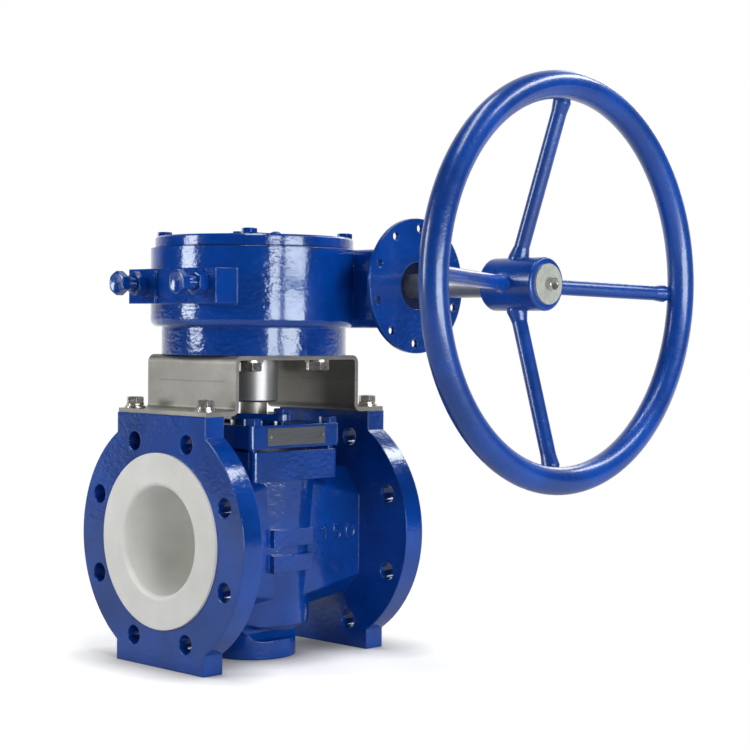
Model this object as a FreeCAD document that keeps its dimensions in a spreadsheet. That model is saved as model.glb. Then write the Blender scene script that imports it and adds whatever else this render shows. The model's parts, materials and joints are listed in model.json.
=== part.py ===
import FreeCAD, Part
import math
import os
import re

import Sketcher
from FreeCAD import Placement, Rotation, Vector

# Lined plug valve, DN 150, turned by a worm gearbox with a handwheel.
# The origin is on the base plane, under the stem. +X runs along the flow, +Z up the stem,
# and the handwheel stands on the -Y side. Lengths are millimetres.
# The plug is drawn open: clockwise turns of the handwheel close it.

SIZES = {
    # Flanges and flow passage
    "body_length": 280,
    "flange_diameter": 285,
    "flange_thickness": 27,
    "pad_width": 155,
    "bolt_rim": 22.5,
    "bolt_hole": 22,
    "bore_diameter": 123,
    "mouth_length": 5,
    "mouth_rounding": 6,
    "face_margin": 9.5,
    "face_proud": 3,
    "face_seat": 2,
    "lining": 4,
    "port_width": 70,
    "port_height": 124,
    "port_lap": 11.5,
    # Barrel and necks of the body
    "boss_step": 6.5,
    "boss_height": 27.5,
    "barrel_chamfer": 13,
    "barrel_foot_wall": 8.5,
    "barrel_top_wall": 16.5,
    "neck_side": 2.5,
    "neck_crown": 76,
    "neck_side_top": 42,
    "neck_side_bottom": 53,
    "neck_rise": 13.5,
    "neck_fall": 16.5,
    "root_side_top": 71,
    "root_side_bottom": 74,
    "root_rise": 26.5,
    "root_fall": 30.5,
    "neck_rounding": 5,
    "bar_length": 62,
    "bar_height": 19.6,
    "bar_spacing": 29.5,
    "bar_drop": 15.2,
    "bar_proud": 14,
    # Head of the body, bonnet and gland
    "head_rise": 100,
    "head_thickness": 34,
    "head_inset": 4,
    "head_proud": 1,
    "head_corner": 5,
    "diaphragm_thickness": 3.5,
    "diaphragm_lap": 6.5,
    "bonnet_length": 139,
    "bonnet_width": 148,
    "bonnet_thickness": 26.5,
    "bonnet_corner": 5,
    "bonnet_bolt_inset_x": 10.5,
    "bonnet_bolt_inset_y": 9.5,
    "bonnet_bolt_length": 48,
    "stuffing_radius": 25,
    "stuffing_depth": 18,
    "packing_height": 12,
    "gland_gap": 3,
    "gland_thickness": 8,
    "gland_radius": 29,
    "gland_reach": 48,
    "gland_end_radius": 12,
    "gland_bolt_length": 26,
    "plate_length": 90,
    "plate_height": 20,
    "plate_thickness": 0.8,
    "rivet_radius": 2,
    "rivet_inset": 4,
    # Plug and stem
    "plug_radius": 57.5,
    "taper": 0.0476,
    "plug_fit": 0.05,
    "plug_below": 82.5,
    "plug_above": 85.5,
    "thrust_inset": 1,
    "end_play": 1.5,
    "thrust_gap": 0.3,
    "stem_radius": 15.6,
    "stem_fit": 0.05,
    "stem_gap": 0.4,
    "stem_entry": 43.5,
    # Coupling between the stem and the quadrant wheel
    "coupling_gap": 13,
    "coupling_radius": 28,
    "shoulder_rise": 0.5,
    "coupling_chamfer": 2,
    "shank_radius": 24,
    "key_width": 8,
    "key_height": 7,
    "key_setback": 4,
    "stem_key_length": 32,
    "wheel_key_length": 60,
    # Mounting bracket
    "bracket_rise": 66.5,
    "bracket_plate": 5,
    "bracket_setback": 1.5,
    "leg_inset": 30.5,
    "bend_radius": 9,
    "bracket_hole_gap": 3,
    "foot_bolt_y": 62.5,
    "foot_bolt_length": 26,
    "gearbox_bolt_circle": 150,
    "gearbox_bolt_length": 34,
    # Gearbox housing and cover
    "housing_wall": 27,
    "neck_step": 13,
    "neck_height": 32,
    "housing_rounding": 9,
    "housing_rise": 42,
    "tooth_room": 10,
    "room_depth": 32.5,
    "cover_step": 5,
    "cover_thickness": 12.5,
    "cover_edge": 2,
    "cover_gasket": 1,
    "cover_boss_wall": 10,
    "cover_boss_depth": 13,
    "cover_bolt_inset": 11.5,
    "cover_bolt_length": 30,
    "vent_x": -47,
    "vent_y": -88,
    "vent_radius": 5,
    "vent_length": 3,
    "vent_flange": 1,
    "bush_wall": 6,
    "bush_length": 21,
    "indicator_radius": 38,
    "indicator_thickness": 4.5,
    "indicator_edge": 1,
    "spindle_radius": 12,
    "pointer_length": 30,
    "pointer_width": 8,
    # Worm chamber and input flange
    "worm_rise": 81,
    "chamber_width": 84,
    "chamber_rear": 110,
    "chamber_corner": 10,
    "worm_room": 3,
    "disc_radius": 77.5,
    "disc_face": 168.5,
    "disc_thickness": 5,
    "disc_bolt_rim": 11.25,
    "disc_bolt_start": 86.8,
    "disc_bolt_hole": 9.5,
    "seal_depth": 8,
    "seal_width": 8,
    "bearing_width": 15,
    "bearing_place": 60,
    "circlip_width": 2,
    "circlip_height": 4,
    "cap_margin": 4,
    "cap_thickness": 8,
    "cap_bolt_inset": 5,
    "cap_screw_length": 16,
    "hole_room": 2,
    "cap_room": 6,
    # Stops on the inlet side of the gearbox
    "stop_spread": 106.6,
    "lug_width": 47,
    "lug_height": 39.5,
    "lug_proud": 4,
    "lug_drop": 3,
    "lug_pad_proud": 0.5,
    "stop_thread_shown": 14,
    "stop_gap": 0.3,
    # Worm and quadrant wheel
    "tooth_module": 4,
    "wheel_teeth": 40,
    "quadrant_width": 24,
    "quadrant_reach": 21,
    "backlash": 0.76,
    "tip_clearance": 1,
    "pressure_angle": 20,
    "worm_pitch_radius": 20,
    "worm_turns": 5,
    "thread_sink": 0.5,
    "hub_radius": 34,
    # Handwheel and its shaft
    "shaft_radius": 14,
    "shaft_fit": 0.05,
    "shaft_rear": 78,
    "shaft_recess": 7,
    "rim_diameter": 450,
    "rim_tube": 30,
    "wheel_dish": 76.5,
    "spoke_step": 9.6,
    "wheel_hub_radius": 29,
    "wheel_hub_back": 286,
    "wheel_hub_length": 73,
    "wheel_hub_rounding": 3,
    "spoke_count": 4,
    "spoke_setback": 23.5,
    "spoke_turn": 1.9,
    "spoke_radius": 8.5,
    "spoke_flare": 3,
    "spoke_flare_length": 12,
    "handwheel_key_length": 50,
    "end_washer_radius": 22,
    "end_washer_thickness": 3,
    "end_screw_length": 22,
    # Fasteners: thread, width across flats, head height, washer
    "thread_a": 8,
    "flats_a": 13,
    "head_a": 5.3,
    "thread_b": 10,
    "flats_b": 16,
    "head_b": 6.4,
    "thread_c": 12,
    "flats_c": 18,
    "head_c": 7.5,
    "thread_d": 16,
    "flats_d": 24,
    "head_d": 10,
    "nut_d": 13,
    "washer_c_radius": 12,
    "washer_c_thickness": 2.5,
    "washer_d_radius": 15,
    "washer_d_thickness": 3,
    "spring_washer_radius": 10.2,
    "spring_washer_thickness": 3,
    "spring_washer_lap": 0.4,
    "thread_fit": 0.1,
    "hole_gap": 0.5,
}

# Places and sizes that follow from the driving ones
FOLLOWS = {
    "axis_height": "flange_diameter / 2",
    "flange_top": "2 * axis_height",
    "flange_back": "body_length / 2 - flange_thickness",
    "flange_middle": "body_length / 2 - flange_thickness / 2",
    "bolt_circle": "flange_diameter - 2 * bolt_rim",
    "face_diameter": "bolt_circle - bolt_hole - 2 * face_margin",
    "port_place": "plug_radius - port_lap",
    "boss_radius": "plug_radius - boss_step",
    "barrel_foot_radius": "plug_radius + barrel_foot_wall",
    "barrel_top_radius": "plug_radius + barrel_top_wall",
    "bar_face": "plug_radius + bar_proud",
    "neck_width": "bore_diameter + 2 * neck_side",
    "neck_top": "bore_diameter / 2 + neck_rise",
    "neck_bottom": "bore_diameter / 2 + neck_fall",
    "root_top": "bore_diameter / 2 + root_rise",
    "root_bottom": "bore_diameter / 2 + root_fall",
    "head_top": "axis_height + head_rise",
    "head_bottom": "head_top - head_thickness",
    "head_length": "bonnet_length - 2 * head_inset",
    "head_width": "bonnet_width + 2 * head_proud",
    "diaphragm_radius": "plug_radius + diaphragm_lap",
    "bonnet_bottom": "head_top + diaphragm_thickness",
    "bonnet_middle": "bonnet_bottom + bonnet_thickness / 2",
    "bonnet_top": "bonnet_bottom + bonnet_thickness",
    "bonnet_bolt_x": "bonnet_length / 2 - bonnet_bolt_inset_x",
    "bonnet_bolt_y": "bonnet_width / 2 - bonnet_bolt_inset_y",
    "stuffing_floor": "bonnet_top - stuffing_depth",
    "gland_bottom": "bonnet_top + gland_gap",
    "gland_top": "gland_bottom + gland_thickness",
    "plug_bottom": "axis_height - plug_below",
    "plug_top": "axis_height + plug_above",
    "plug_bottom_radius": "plug_radius - taper * plug_below",
    "plug_top_radius": "plug_radius + taper * plug_above",
    "coupling_bottom": "gland_top + coupling_gap",
    "stem_top": "coupling_bottom + stem_entry",
    "bracket_foot": "flange_top + bracket_plate",
    "bracket_top": "flange_top + bracket_rise",
    "bracket_end": "body_length / 2 - bracket_setback",
    "bracket_hole": "2 * (coupling_radius + bracket_hole_gap)",
    "leg_face": "flange_middle - leg_inset",
    "leg_inside": "leg_face - bracket_plate",
    "coupling_shoulder": "bracket_top + shoulder_rise",
    "wheel_radius": "tooth_module * wheel_teeth / 2",
    "worm_pitch": "pi * tooth_module",
    "centre_distance": "wheel_radius + worm_pitch_radius",
    "worm_height": "bracket_top + worm_rise",
    "housing_bottom": "bracket_top + neck_height",
    "housing_top": "worm_height + housing_rise",
    "gear_room_floor": "worm_height - room_depth",
    "gear_room_radius": "wheel_radius + tooth_module + tooth_room",
    "housing_radius": "gear_room_radius + housing_wall",
    "neck_radius": "housing_radius - neck_step",
    "hub_bottom": "gear_room_floor - bush_length + thrust_gap",
    "hub_top": "housing_top - end_play",
    "shank_top": "housing_top - 3 * end_play",
    "bush_radius": "hub_radius + bush_wall",
    "cover_bottom": "housing_top + cover_gasket",
    "cover_top": "cover_bottom + cover_thickness",
    "cover_radius": "housing_radius - cover_step",
    "cover_boss_radius": "bush_radius + cover_boss_wall",
    "cover_bolt_circle": "2 * (gear_room_radius + cover_bolt_inset)",
    "chamber_bore": "worm_pitch_radius + tooth_module + worm_room",
    "disc_bolt_circle": "2 * (disc_radius - disc_bolt_rim)",
    "cap_radius": "chamber_width / 2 - cap_margin",
    "cap_bolt_circle": "2 * (chamber_bore + cap_bolt_inset)",
    "lug_face": "housing_radius + lug_proud",
    "lug_pad_face": "housing_radius + lug_pad_proud",
    "stop_head_place": "lug_face + nut_d + stop_thread_shown",
    "wheel_hub_front": "wheel_hub_back + wheel_hub_length",
    "shaft_end": "wheel_hub_front - shaft_recess",
    "spoke_start": "wheel_hub_back + spoke_setback",
    "rim_radius": "(rim_diameter - rim_tube) / 2",
    "rim_plane": "spoke_start + wheel_dish",
    "spoke_slope": "(wheel_dish - spoke_step) / rim_radius",
}

Z_AXIS = Vector(0, 0, 1)
UPRIGHT = Rotation()
UPSIDE_DOWN = Rotation(Vector(1, 0, 0), 180)
TO_WHEEL = Rotation(Vector(1, 0, 0), 90)
TO_INLET = Rotation(Vector(0, 1, 0), -90)
LENGTHWISE = Rotation(Vector(0, 1, 0), 90)
CORNERS = [(1, 1), (-1, 1), (-1, -1), (1, -1)]
FLANGE_HOLES = 8
DISC_HOLES = 10
CAP_SCREWS = 4
FLANK_STEPS = (0, 0.4, 0.7, 1)
DRAFT = 20
NEAR = 0.01

doc = FreeCAD.newDocument("plug_valve")
sheet = doc.addObject("Spreadsheet::Sheet", "dims")


def fill_sheet():
    """Write each driving size in a cell of its own, with its name as alias."""
    for row, (name, value) in enumerate(SIZES.items(), start=1):
        sheet.set("A%d" % row, name)
        sheet.set("B%d" % row, str(value))
        sheet.setAlias("B%d" % row, name)
    doc.recompute()


def size(name):
    """Read one driving size back from the sheet."""
    return float(getattr(sheet, name))


def formula(text):
    """Point every size name at its cell, and write out the places that follow from sizes."""

    def cell(found):
        word = found.group()
        if word in FOLLOWS:
            return "(" + formula(FOLLOWS[word]) + ")"
        return "dims." + word if word in SIZES else word

    return re.sub(r"[a-z_][a-z0-9_]*", cell, text)


def bind(item, **formulas):
    """Bind properties to formulas; a double underscore stands for a dot."""
    for name, text in formulas.items():
        item.setExpression(name.replace("__", "."), formula(text))


def place(item, spot=("0", "0", "0"), turn=UPRIGHT):
    """Turn an item and bind its position."""
    item.Placement = Placement(Vector(), turn)
    x, y, z = spot
    bind(item, Placement__Base__x=x, Placement__Base__y=y, Placement__Base__z=z)
    return item


# Part primitives and booleans

def cylinder(name, radius, height, spot=("0", "0", "0"), turn=UPRIGHT):
    solid = doc.addObject("Part::Cylinder", name)
    bind(solid, Radius=radius, Height=height)
    return place(solid, spot, turn)


def cone(name, lower, upper, height, spot=("0", "0", "0"), turn=UPRIGHT):
    solid = doc.addObject("Part::Cone", name)
    bind(solid, Radius1=lower, Radius2=upper, Height=height)
    return place(solid, spot, turn)


def block(name, length, width, height, spot, turn=UPRIGHT):
    solid = doc.addObject("Part::Box", name)
    bind(solid, Length=length, Width=width, Height=height)
    return place(solid, spot, turn)


def hexagon(name, flats, height, spot=("0", "0", "0"), turn=UPRIGHT):
    solid = doc.addObject("Part::Prism", name)
    solid.Polygon = 6
    bind(solid, Circumradius=flats + " / sqrt(3)", Height=height)
    return place(solid, spot, turn)


def fuse(name, parts):
    whole = doc.addObject("Part::MultiFuse", name)
    whole.Shapes = parts
    return whole


def cut(name, base, tools):
    tool = tools[0] if len(tools) == 1 else fuse(name + "_tools", tools)
    rest = doc.addObject("Part::Cut", name)
    rest.Base = base
    rest.Tool = tool
    return rest


def group(name, parts):
    """Separate solids that share one node."""
    whole = doc.addObject("Part::Compound", name)
    whole.Links = parts
    return whole


# PartDesign bodies

def new_body(name):
    return doc.addObject("PartDesign::Body", name)


def origin_feature(body, role):
    for feature in body.Origin.OriginFeatures:
        if feature.Role == role:
            return feature


def new_sketch(body, name, role, offset):
    sketch = body.newObject("Sketcher::SketchObject", name)
    sketch.AttachmentSupport = (origin_feature(body, role), [""])
    sketch.MapMode = "FlatFace"
    if offset:
        bind(sketch, AttachmentOffset__Base__z=offset)
    return sketch


def polygon(body, name, role, corners, offset=None):
    """A closed outline whose corners are bound one by one."""
    sketch = new_sketch(body, name, role, offset)
    count = len(corners)
    step = 2 * math.pi / count
    draft = [Vector(DRAFT * math.cos(i * step), DRAFT * math.sin(i * step), 0) for i in range(count)]
    lines = [Part.LineSegment(draft[i], draft[(i + 1) % count]) for i in range(count)]
    sketch.addGeometry(lines, False)
    rules = [Sketcher.Constraint("Coincident", i, 2, (i + 1) % count, 1) for i in range(count)]
    for i, point in enumerate(draft):
        rules.append(Sketcher.Constraint("DistanceX", -1, 1, i, 1, point.x))
        rules.append(Sketcher.Constraint("DistanceY", -1, 1, i, 1, point.y))
    sketch.addConstraint(rules)
    for i, (x, y) in enumerate(corners):
        sketch.setExpression("Constraints[%d]" % (count + 2 * i), formula(x))
        sketch.setExpression("Constraints[%d]" % (count + 2 * i + 1), formula(y))
    return sketch


def rectangle(body, name, role, width, height, middle=("0", "0"), offset=None):
    x, y = middle
    corners = []
    for i, j in CORNERS:
        corners.append(("%s + %d * %s / 2" % (x, i, width), "%s + %d * %s / 2" % (y, j, height)))
    return polygon(body, name, role, corners, offset)


def circles(body, name, role, spots, radius, offset=None):
    """Circles of one radius at bound centres."""
    sketch = new_sketch(body, name, role, offset)
    for i, (x, y) in enumerate(spots):
        centre = Vector(3 * DRAFT * (i + 1), DRAFT, 0)
        sketch.addGeometry(Part.Circle(centre, Z_AXIS, DRAFT), False)
        rules = [
            Sketcher.Constraint("DistanceX", -1, 1, i, 3, centre.x),
            Sketcher.Constraint("DistanceY", -1, 1, i, 3, centre.y),
            Sketcher.Constraint("Radius", i, DRAFT),
        ]
        sketch.addConstraint(rules)
        for j, text in enumerate((x, y, radius)):
            sketch.setExpression("Constraints[%d]" % (3 * i + j), formula(text))
    return sketch


def pad(body, name, sketch, length, both=False):
    feature = body.newObject("PartDesign::Pad", name)
    feature.Profile = sketch
    if both:
        feature.SideType = "Symmetric"
    bind(feature, Length=length)
    sketch.Visibility = False
    return feature


def pocket(body, name, sketch, length):
    feature = body.newObject("PartDesign::Pocket", name)
    feature.Profile = sketch
    bind(feature, Length=length)
    return feature


def loft(body, name, sections):
    feature = body.newObject("PartDesign::AdditiveLoft", name)
    feature.Profile = sections[0]
    feature.Sections = sections[1:]
    feature.Ruled = True
    return feature


def turned(name, corners, spot=("0", "0", "0"), turn=UPRIGHT):
    """A body of revolution: corners are radius and height along its own axis."""
    body = new_body(name)
    sketch = polygon(body, name + "_profile", "XZ_Plane", corners)
    spin = body.newObject("PartDesign::Revolution", name + "_turning")
    spin.Profile = sketch
    spin.ReferenceAxis = (sketch, ["V_Axis"])
    spin.Angle = 360
    return place(body, spot, turn)


def ring(name, inner, outer, start, height, spot=("0", "0", "0"), turn=UPRIGHT):
    end = "%s + %s" % (start, height)
    return turned(name, [(inner, start), (outer, start), (outer, end), (inner, end)], spot, turn)


def round_edges(body, name, radius, wanted):
    """Fillet the edges of the body's last feature that the test picks out."""
    doc.recompute()
    last = body.Tip
    names = ["Edge%d" % (i + 1) for i, edge in enumerate(last.Shape.Edges) if wanted(edge)]
    feature = body.newObject("PartDesign::Fillet", name)
    feature.Base = (last, names)
    bind(feature, Radius=radius)
    return feature


def runs_along(edge, axis):
    """True for a straight edge that lies along the axis."""
    if not isinstance(edge.Curve, Part.Line):
        return False
    return abs(edge.Curve.Direction.dot(axis)) > 0.999


def round_corners(body, name, radius, sketch, numbers):
    """Fillet the edges that stand on the given corners of a padded outline."""
    doc.recompute()
    across = sketch.Placement.Rotation.multVec(Z_AXIS)
    spots = [sketch.Placement.multVec(sketch.Geometry[i].StartPoint) for i in numbers]

    def on_corner(edge):
        middle = edge.CenterOfMass
        return runs_along(edge, across) and any((middle - spot).cross(across).Length < NEAR for spot in spots)

    return round_edges(body, name, radius, on_corner)


def round_rim(body, name, radius, number):
    """Fillet the circle that one corner of a turned profile makes."""
    doc.recompute()
    corner = doc.getObject(body.Name + "_profile").Geometry[number].StartPoint

    def on_rim(edge):
        if not isinstance(edge.Curve, Part.Circle):
            return False
        return abs(edge.Curve.Radius - corner.x) < NEAR and abs(edge.Curve.Center.z - corner.y) < NEAR

    return round_edges(body, name, radius, on_rim)


# Fasteners

def bolt(name, kind, length, spot, turn=UPRIGHT, seat="0"):
    """A hexagon bolt whose head stands on its own base plane, raised by its washers."""
    head = hexagon(name + "_head", "flats_" + kind, "head_" + kind, ("0", "0", seat))
    radius = "thread_%s / 2 - thread_fit" % kind
    shank = cylinder(name + "_shank", radius, "%s + %s" % (length, seat), ("0", "0", "-" + length))
    return place(fuse(name, [head, shank]), spot, turn)


def bolts(name, kind, length, spots, turn=UPRIGHT, seat="0"):
    return group(name, [bolt("%s_%d" % (name, i), kind, length, spot, turn, seat)
                        for i, spot in enumerate(spots, start=1)])


def washer(name, kind, outer, height, spot, turn=UPRIGHT):
    disc = cylinder(name + "_disc", outer, height)
    hole = cylinder(name + "_hole", "thread_%s / 2 + hole_gap" % kind, height)
    return place(cut(name, disc, [hole]), spot, turn)


def washers(name, kind, outer, height, spots, turn=UPRIGHT):
    return group(name, [washer("%s_%d" % (name, i), kind, outer, height, spot, turn)
                        for i, spot in enumerate(spots, start=1)])


def holes(name, kind, depth, spots, turn=UPRIGHT, gap="0"):
    """Cutting tools for bolts that point against their own axis."""
    return [cylinder("%s_%d" % (name, i), "thread_%s / 2 + %s" % (kind, gap), depth, spot, turn)
            for i, spot in enumerate(spots, start=1)]


def four_spots(x, y, z):
    return [("%d * %s" % (i, x), "%d * %s" % (j, y), z) for i, j in CORNERS]


def round_spots(diameter, count, first, x, y):
    """Centres on a pitch circle, as pairs of formulas."""
    spots = []
    for i in range(count):
        angle = "%s + %g" % (first, 360 / count * i)
        spots.append(("%s + %s / 2 * cos(%s)" % (x, diameter, angle),
                      "%s + %s / 2 * sin(%s)" % (y, diameter, angle)))
    return spots


# Bolt places

BONNET_BOLTS = four_spots("bonnet_bolt_x", "bonnet_bolt_y", "bonnet_top")
FOOT_BOLTS = four_spots("flange_middle", "foot_bolt_y", "bracket_foot")
GEARBOX_BOLTS = four_spots("gearbox_bolt_circle / 2 / sqrt(2)", "gearbox_bolt_circle / 2 / sqrt(2)",
                           "bracket_top - bracket_plate")
COVER_BOLTS = four_spots("cover_bolt_circle / 2 / sqrt(2)", "cover_bolt_circle / 2 / sqrt(2)", "cover_top")
GLAND_BOLTS = [("0", "%d * gland_reach" % side, "gland_top") for side in (-1, 1)]
STOP_BOLTS = [("-stop_head_place", "%d * stop_spread / 2" % side, "worm_height") for side in (-1, 1)]


def lowered(spots, depth):
    """The same places, lower by a depth."""
    return [(x, y, "%s - %s" % (z, depth)) for x, y, z in spots]


# Body of the valve

def flow_duct(name, round_radius, wide, high, side):
    """One tapering passage from the round mouth to the tall port of the plug."""
    turn = Rotation(Vector(0, 1, 0), 90)
    ends = []
    for part, major, minor, x in (("mouth", round_radius, round_radius, "body_length / 2 - mouth_length"),
                                  ("port", high, wide, "port_place")):
        oval = doc.addObject("Part::Ellipse", "%s_%s" % (name, part))
        bind(oval, MajorRadius=major, MinorRadius=minor)
        ends.append(place(oval, ("%d * (%s)" % (side, x), "0", "axis_height"), turn))
    duct = doc.addObject("Part::Loft", name)
    duct.Sections = ends
    duct.Solid = True
    duct.Ruled = True
    return duct


def lined_passage():
    """Both halves of the flow passage, grown by the liner's wall."""
    parts = []
    for side, word in ((-1, "inlet"), (1, "outlet")):
        label = "lined_" + word
        radius = "bore_diameter / 2 + lining"
        parts.append(flow_duct(label, radius, "port_width / 2 + lining", "port_height / 2 + lining", side))
        start = "body_length / 2 - mouth_length" if side > 0 else "-body_length / 2"
        parts.append(cylinder(label + "_round", radius, "mouth_length", (start, "0", "axis_height"),
                              LENGTHWISE))
    return parts


def waterway():
    """The flow passage itself, with a rounded mouth in each sealing face."""
    parts = []
    for side, word, turn in ((-1, "inlet", TO_INLET), (1, "outlet", LENGTHWISE)):
        label = "waterway_" + word
        parts.append(flow_duct(label, "bore_diameter / 2", "port_width / 2", "port_height / 2", side))
        bore = "bore_diameter / 2"
        beyond = "face_diameter / 2 + mouth_rounding"
        outside = "face_proud + mouth_rounding"
        mouth = turned(label + "_entry", [
            ("0", "-mouth_length"), (bore, "-mouth_length"), (bore, "face_proud"), (beyond, "face_proud"),
            (beyond, outside), ("0", outside)])
        round_rim(mouth, label + "_rounding", "mouth_rounding", 2)
        parts.append(place(mouth, ("%d * body_length / 2" % side, "0", "axis_height"), turn))
    return parts


def cavity(name, extra):
    """The tapered room for the plug, grown by a wall."""
    floor = "(plug_bottom - end_play - %s)" % extra
    lower = "plug_radius + taper * (%s - axis_height) + plug_fit + %s" % (floor, extra)
    upper = "plug_radius + taper * (head_top - axis_height) + plug_fit + " + extra
    return cone(name, lower, upper, "head_top - " + floor, ("0", "0", floor))


def liner_envelope():
    """Everything that the liner and what runs inside it take out of the casting."""
    parts = lined_passage()
    parts.append(cavity("lined_cavity", "lining"))
    for side in (-1, 1):
        start = "body_length / 2 - face_seat" if side > 0 else "-(body_length / 2 + face_proud)"
        parts.append(cylinder("face_disc_%d" % (side + 2), "face_diameter / 2", "face_seat + face_proud",
                              (start, "0", "axis_height"), LENGTHWISE))
    return fuse("liner_envelope", parts)


def casting_blank():
    """Flanges with pads and feet, barrel, necks, head and the two raised bars."""
    body = new_body("casting_blank")
    barrel = [("0", "0"), ("boss_radius", "0"), ("boss_radius", "boss_height"),
              ("barrel_foot_radius", "boss_height + barrel_chamfer"),
              ("barrel_top_radius", "head_bottom"), ("0", "head_bottom")]
    sketch = polygon(body, "barrel_profile", "XZ_Plane", barrel)
    spin = body.newObject("PartDesign::Revolution", "barrel")
    spin.Profile = sketch
    spin.ReferenceAxis = (sketch, ["V_Axis"])
    head = rectangle(body, "head_outline", "XY_Plane", "head_length", "head_width", offset="head_bottom")
    pad(body, "head", head, "head_thickness")
    round_corners(body, "head_corners", "head_corner", head, range(4))
    for side, word in ((-1, "inlet"), (1, "outlet")):
        root = neck_outline(body, word + "_neck_root", "root_side_top", "root_side_bottom",
                            "root_top", "root_bottom", "0")
        end = neck_outline(body, word + "_neck_end", "neck_side_top", "neck_side_bottom",
                           "neck_top", "neck_bottom", "%d * flange_back" % side)
        loft(body, word + "_neck", [root, end])
    round_edges(body, "neck_edges", "neck_rounding", is_neck_edge)
    for side, word in ((-1, "inlet"), (1, "outlet")):
        start = "%d * flange_middle" % side
        disc = circles(body, word + "_disc_outline", "YZ_Plane", [("0", "axis_height")],
                       "flange_diameter / 2", start)
        pad(body, word + "_disc", disc, "flange_thickness", both=True)
        square = rectangle(body, word + "_pad_outline", "YZ_Plane", "pad_width", "flange_top",
                           ("0", "axis_height"), start)
        pad(body, word + "_pads", square, "flange_thickness", both=True)
    for level in (0, 1):
        height = "axis_height + bar_spacing / 2 - bar_drop - %d * bar_spacing" % level
        label = "bar_%d" % level
        outline = rectangle(body, label + "_outline", "XZ_Plane", "bar_length", "bar_height", ("0", height))
        pad(body, label, outline, "bar_face")
    spots = round_spots("bolt_circle", FLANGE_HOLES, "%g" % (180 / FLANGE_HOLES), "0", "axis_height")
    drilled = circles(body, "flange_holes_outline", "YZ_Plane", spots, "bolt_hole / 2")
    drill = pocket(body, "flange_holes", drilled, "body_length + 2 * face_proud")
    drill.SideType = "Symmetric"
    return body


def neck_outline(body, name, side_top, side_bottom, top, bottom, offset):
    """An eight-sided section of the neck about the flow axis."""
    right = [("neck_width / 2", "-" + side_bottom), ("neck_width / 2", side_top),
             ("neck_crown / 2", top)]
    left = [("-neck_crown / 2", top), ("-neck_width / 2", side_top), ("-neck_width / 2", "-" + side_bottom),
            ("-neck_crown / 2", "-" + bottom), ("neck_crown / 2", "-" + bottom)]
    corners = [(y, "axis_height + " + z) for y, z in right + left]
    return polygon(body, name, "YZ_Plane", corners, offset)


def is_neck_edge(edge):
    """The long edges of the necks, which end at the back of a flange."""
    ends = sorted(abs(corner.X) for corner in edge.Vertexes)
    back = size("body_length") / 2 - size("flange_thickness")
    return ends[-1] - ends[0] > NEAR and abs(ends[-1] - back) < NEAR


def body_casting():
    tools = [doc.getObject("liner_envelope")]
    tools += holes("bonnet_tapping", "c", "bonnet_bolt_length", lowered(BONNET_BOLTS, "bonnet_bolt_length"))
    tools += holes("foot_tapping", "c", "foot_bolt_length", lowered(FOOT_BOLTS, "foot_bolt_length"))
    return cut("body_casting", casting_blank(), tools)


def body_liner():
    """The moulded liner: sealing faces, both passages and the wall of the plug's room."""
    return cut("body_liner", doc.getObject("liner_envelope"), waterway() + [cavity("plug_room", "0")])


# Plug and stem

def plug_core():
    """Metal plug with its stem: the lining stands round it on all sides."""
    lower = "plug_bottom_radius - lining"
    upper = "plug_top_radius - lining"
    cone_part = cone("plug_cone", lower, upper, "plug_top - plug_bottom - 2 * lining",
                     ("0", "0", "plug_bottom + lining"))
    stem = cylinder("stem", "stem_radius", "stem_top - plug_top + 2 * lining",
                    ("0", "0", "plug_top - 2 * lining"))
    duct = straight_duct("core_duct", "lining")
    return cut("plug_core", fuse("plug_and_stem", [cone_part, stem]), [duct, doc.getObject("stem_key")])


def straight_duct(name, extra):
    """The straight oval port through the plug."""
    oval = doc.addObject("Part::Ellipse", name + "_outline")
    bind(oval, MajorRadius="port_height / 2 + " + extra, MinorRadius="port_width / 2 + " + extra)
    place(oval, ("-2 * plug_radius", "0", "axis_height"), LENGTHWISE)
    duct = doc.addObject("Part::Extrusion", name)
    duct.Base = oval
    duct.Dir = Vector(1, 0, 0)
    duct.DirMode = "Custom"
    duct.Solid = True
    bind(duct, LengthFwd="4 * plug_radius")
    return duct


def plug_lining():
    skin = cone("lining_cone", "plug_bottom_radius", "plug_top_radius", "plug_top - plug_bottom",
                ("0", "0", "plug_bottom"))
    inner = cone("lining_inside", "plug_bottom_radius - lining", "plug_top_radius - lining",
                 "plug_top - plug_bottom - 2 * lining", ("0", "0", "plug_bottom + lining"))
    stem_hole = cylinder("lining_stem_hole", "stem_radius", "2 * lining", ("0", "0", "plug_top - lining"))
    room = cut("lining_room", inner, [straight_duct("room_duct", "lining")])
    return cut("plug_lining", skin, [room, stem_hole, straight_duct("port_duct", "0")])


def stem_key():
    return block("stem_key", "key_height", "key_width", "stem_key_length",
                 ("stem_radius - key_height / 2", "-key_width / 2",
                  "stem_top - key_setback - stem_key_length"))


def thrust_ring():
    return ring("thrust_ring", "stem_radius + stem_gap",
                "plug_top_radius - thrust_inset", "plug_top + thrust_gap", "head_top - plug_top - thrust_gap")


# Bonnet, packing and gland

def bonnet():
    body = new_body("bonnet_blank")
    outline = rectangle(body, "bonnet_outline", "XY_Plane", "bonnet_length", "bonnet_width",
                        offset="bonnet_bottom")
    pad(body, "bonnet_plate", outline, "bonnet_thickness")
    round_corners(body, "bonnet_corners", "bonnet_corner", outline, range(4))
    tools = [cylinder("stuffing_box", "stuffing_radius", "stuffing_depth", ("0", "0", "stuffing_floor")),
             cylinder("bonnet_stem_hole", "stem_radius + stem_gap", "bonnet_thickness",
                      ("0", "0", "bonnet_bottom"))]
    tools += holes("bonnet_hole", "c", "bonnet_thickness", lowered(BONNET_BOLTS, "bonnet_thickness"))
    tools += holes("gland_tapping", "b", "gland_bolt_length", lowered(GLAND_BOLTS, "gland_bolt_length"))
    return cut("bonnet", body, tools)


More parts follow.
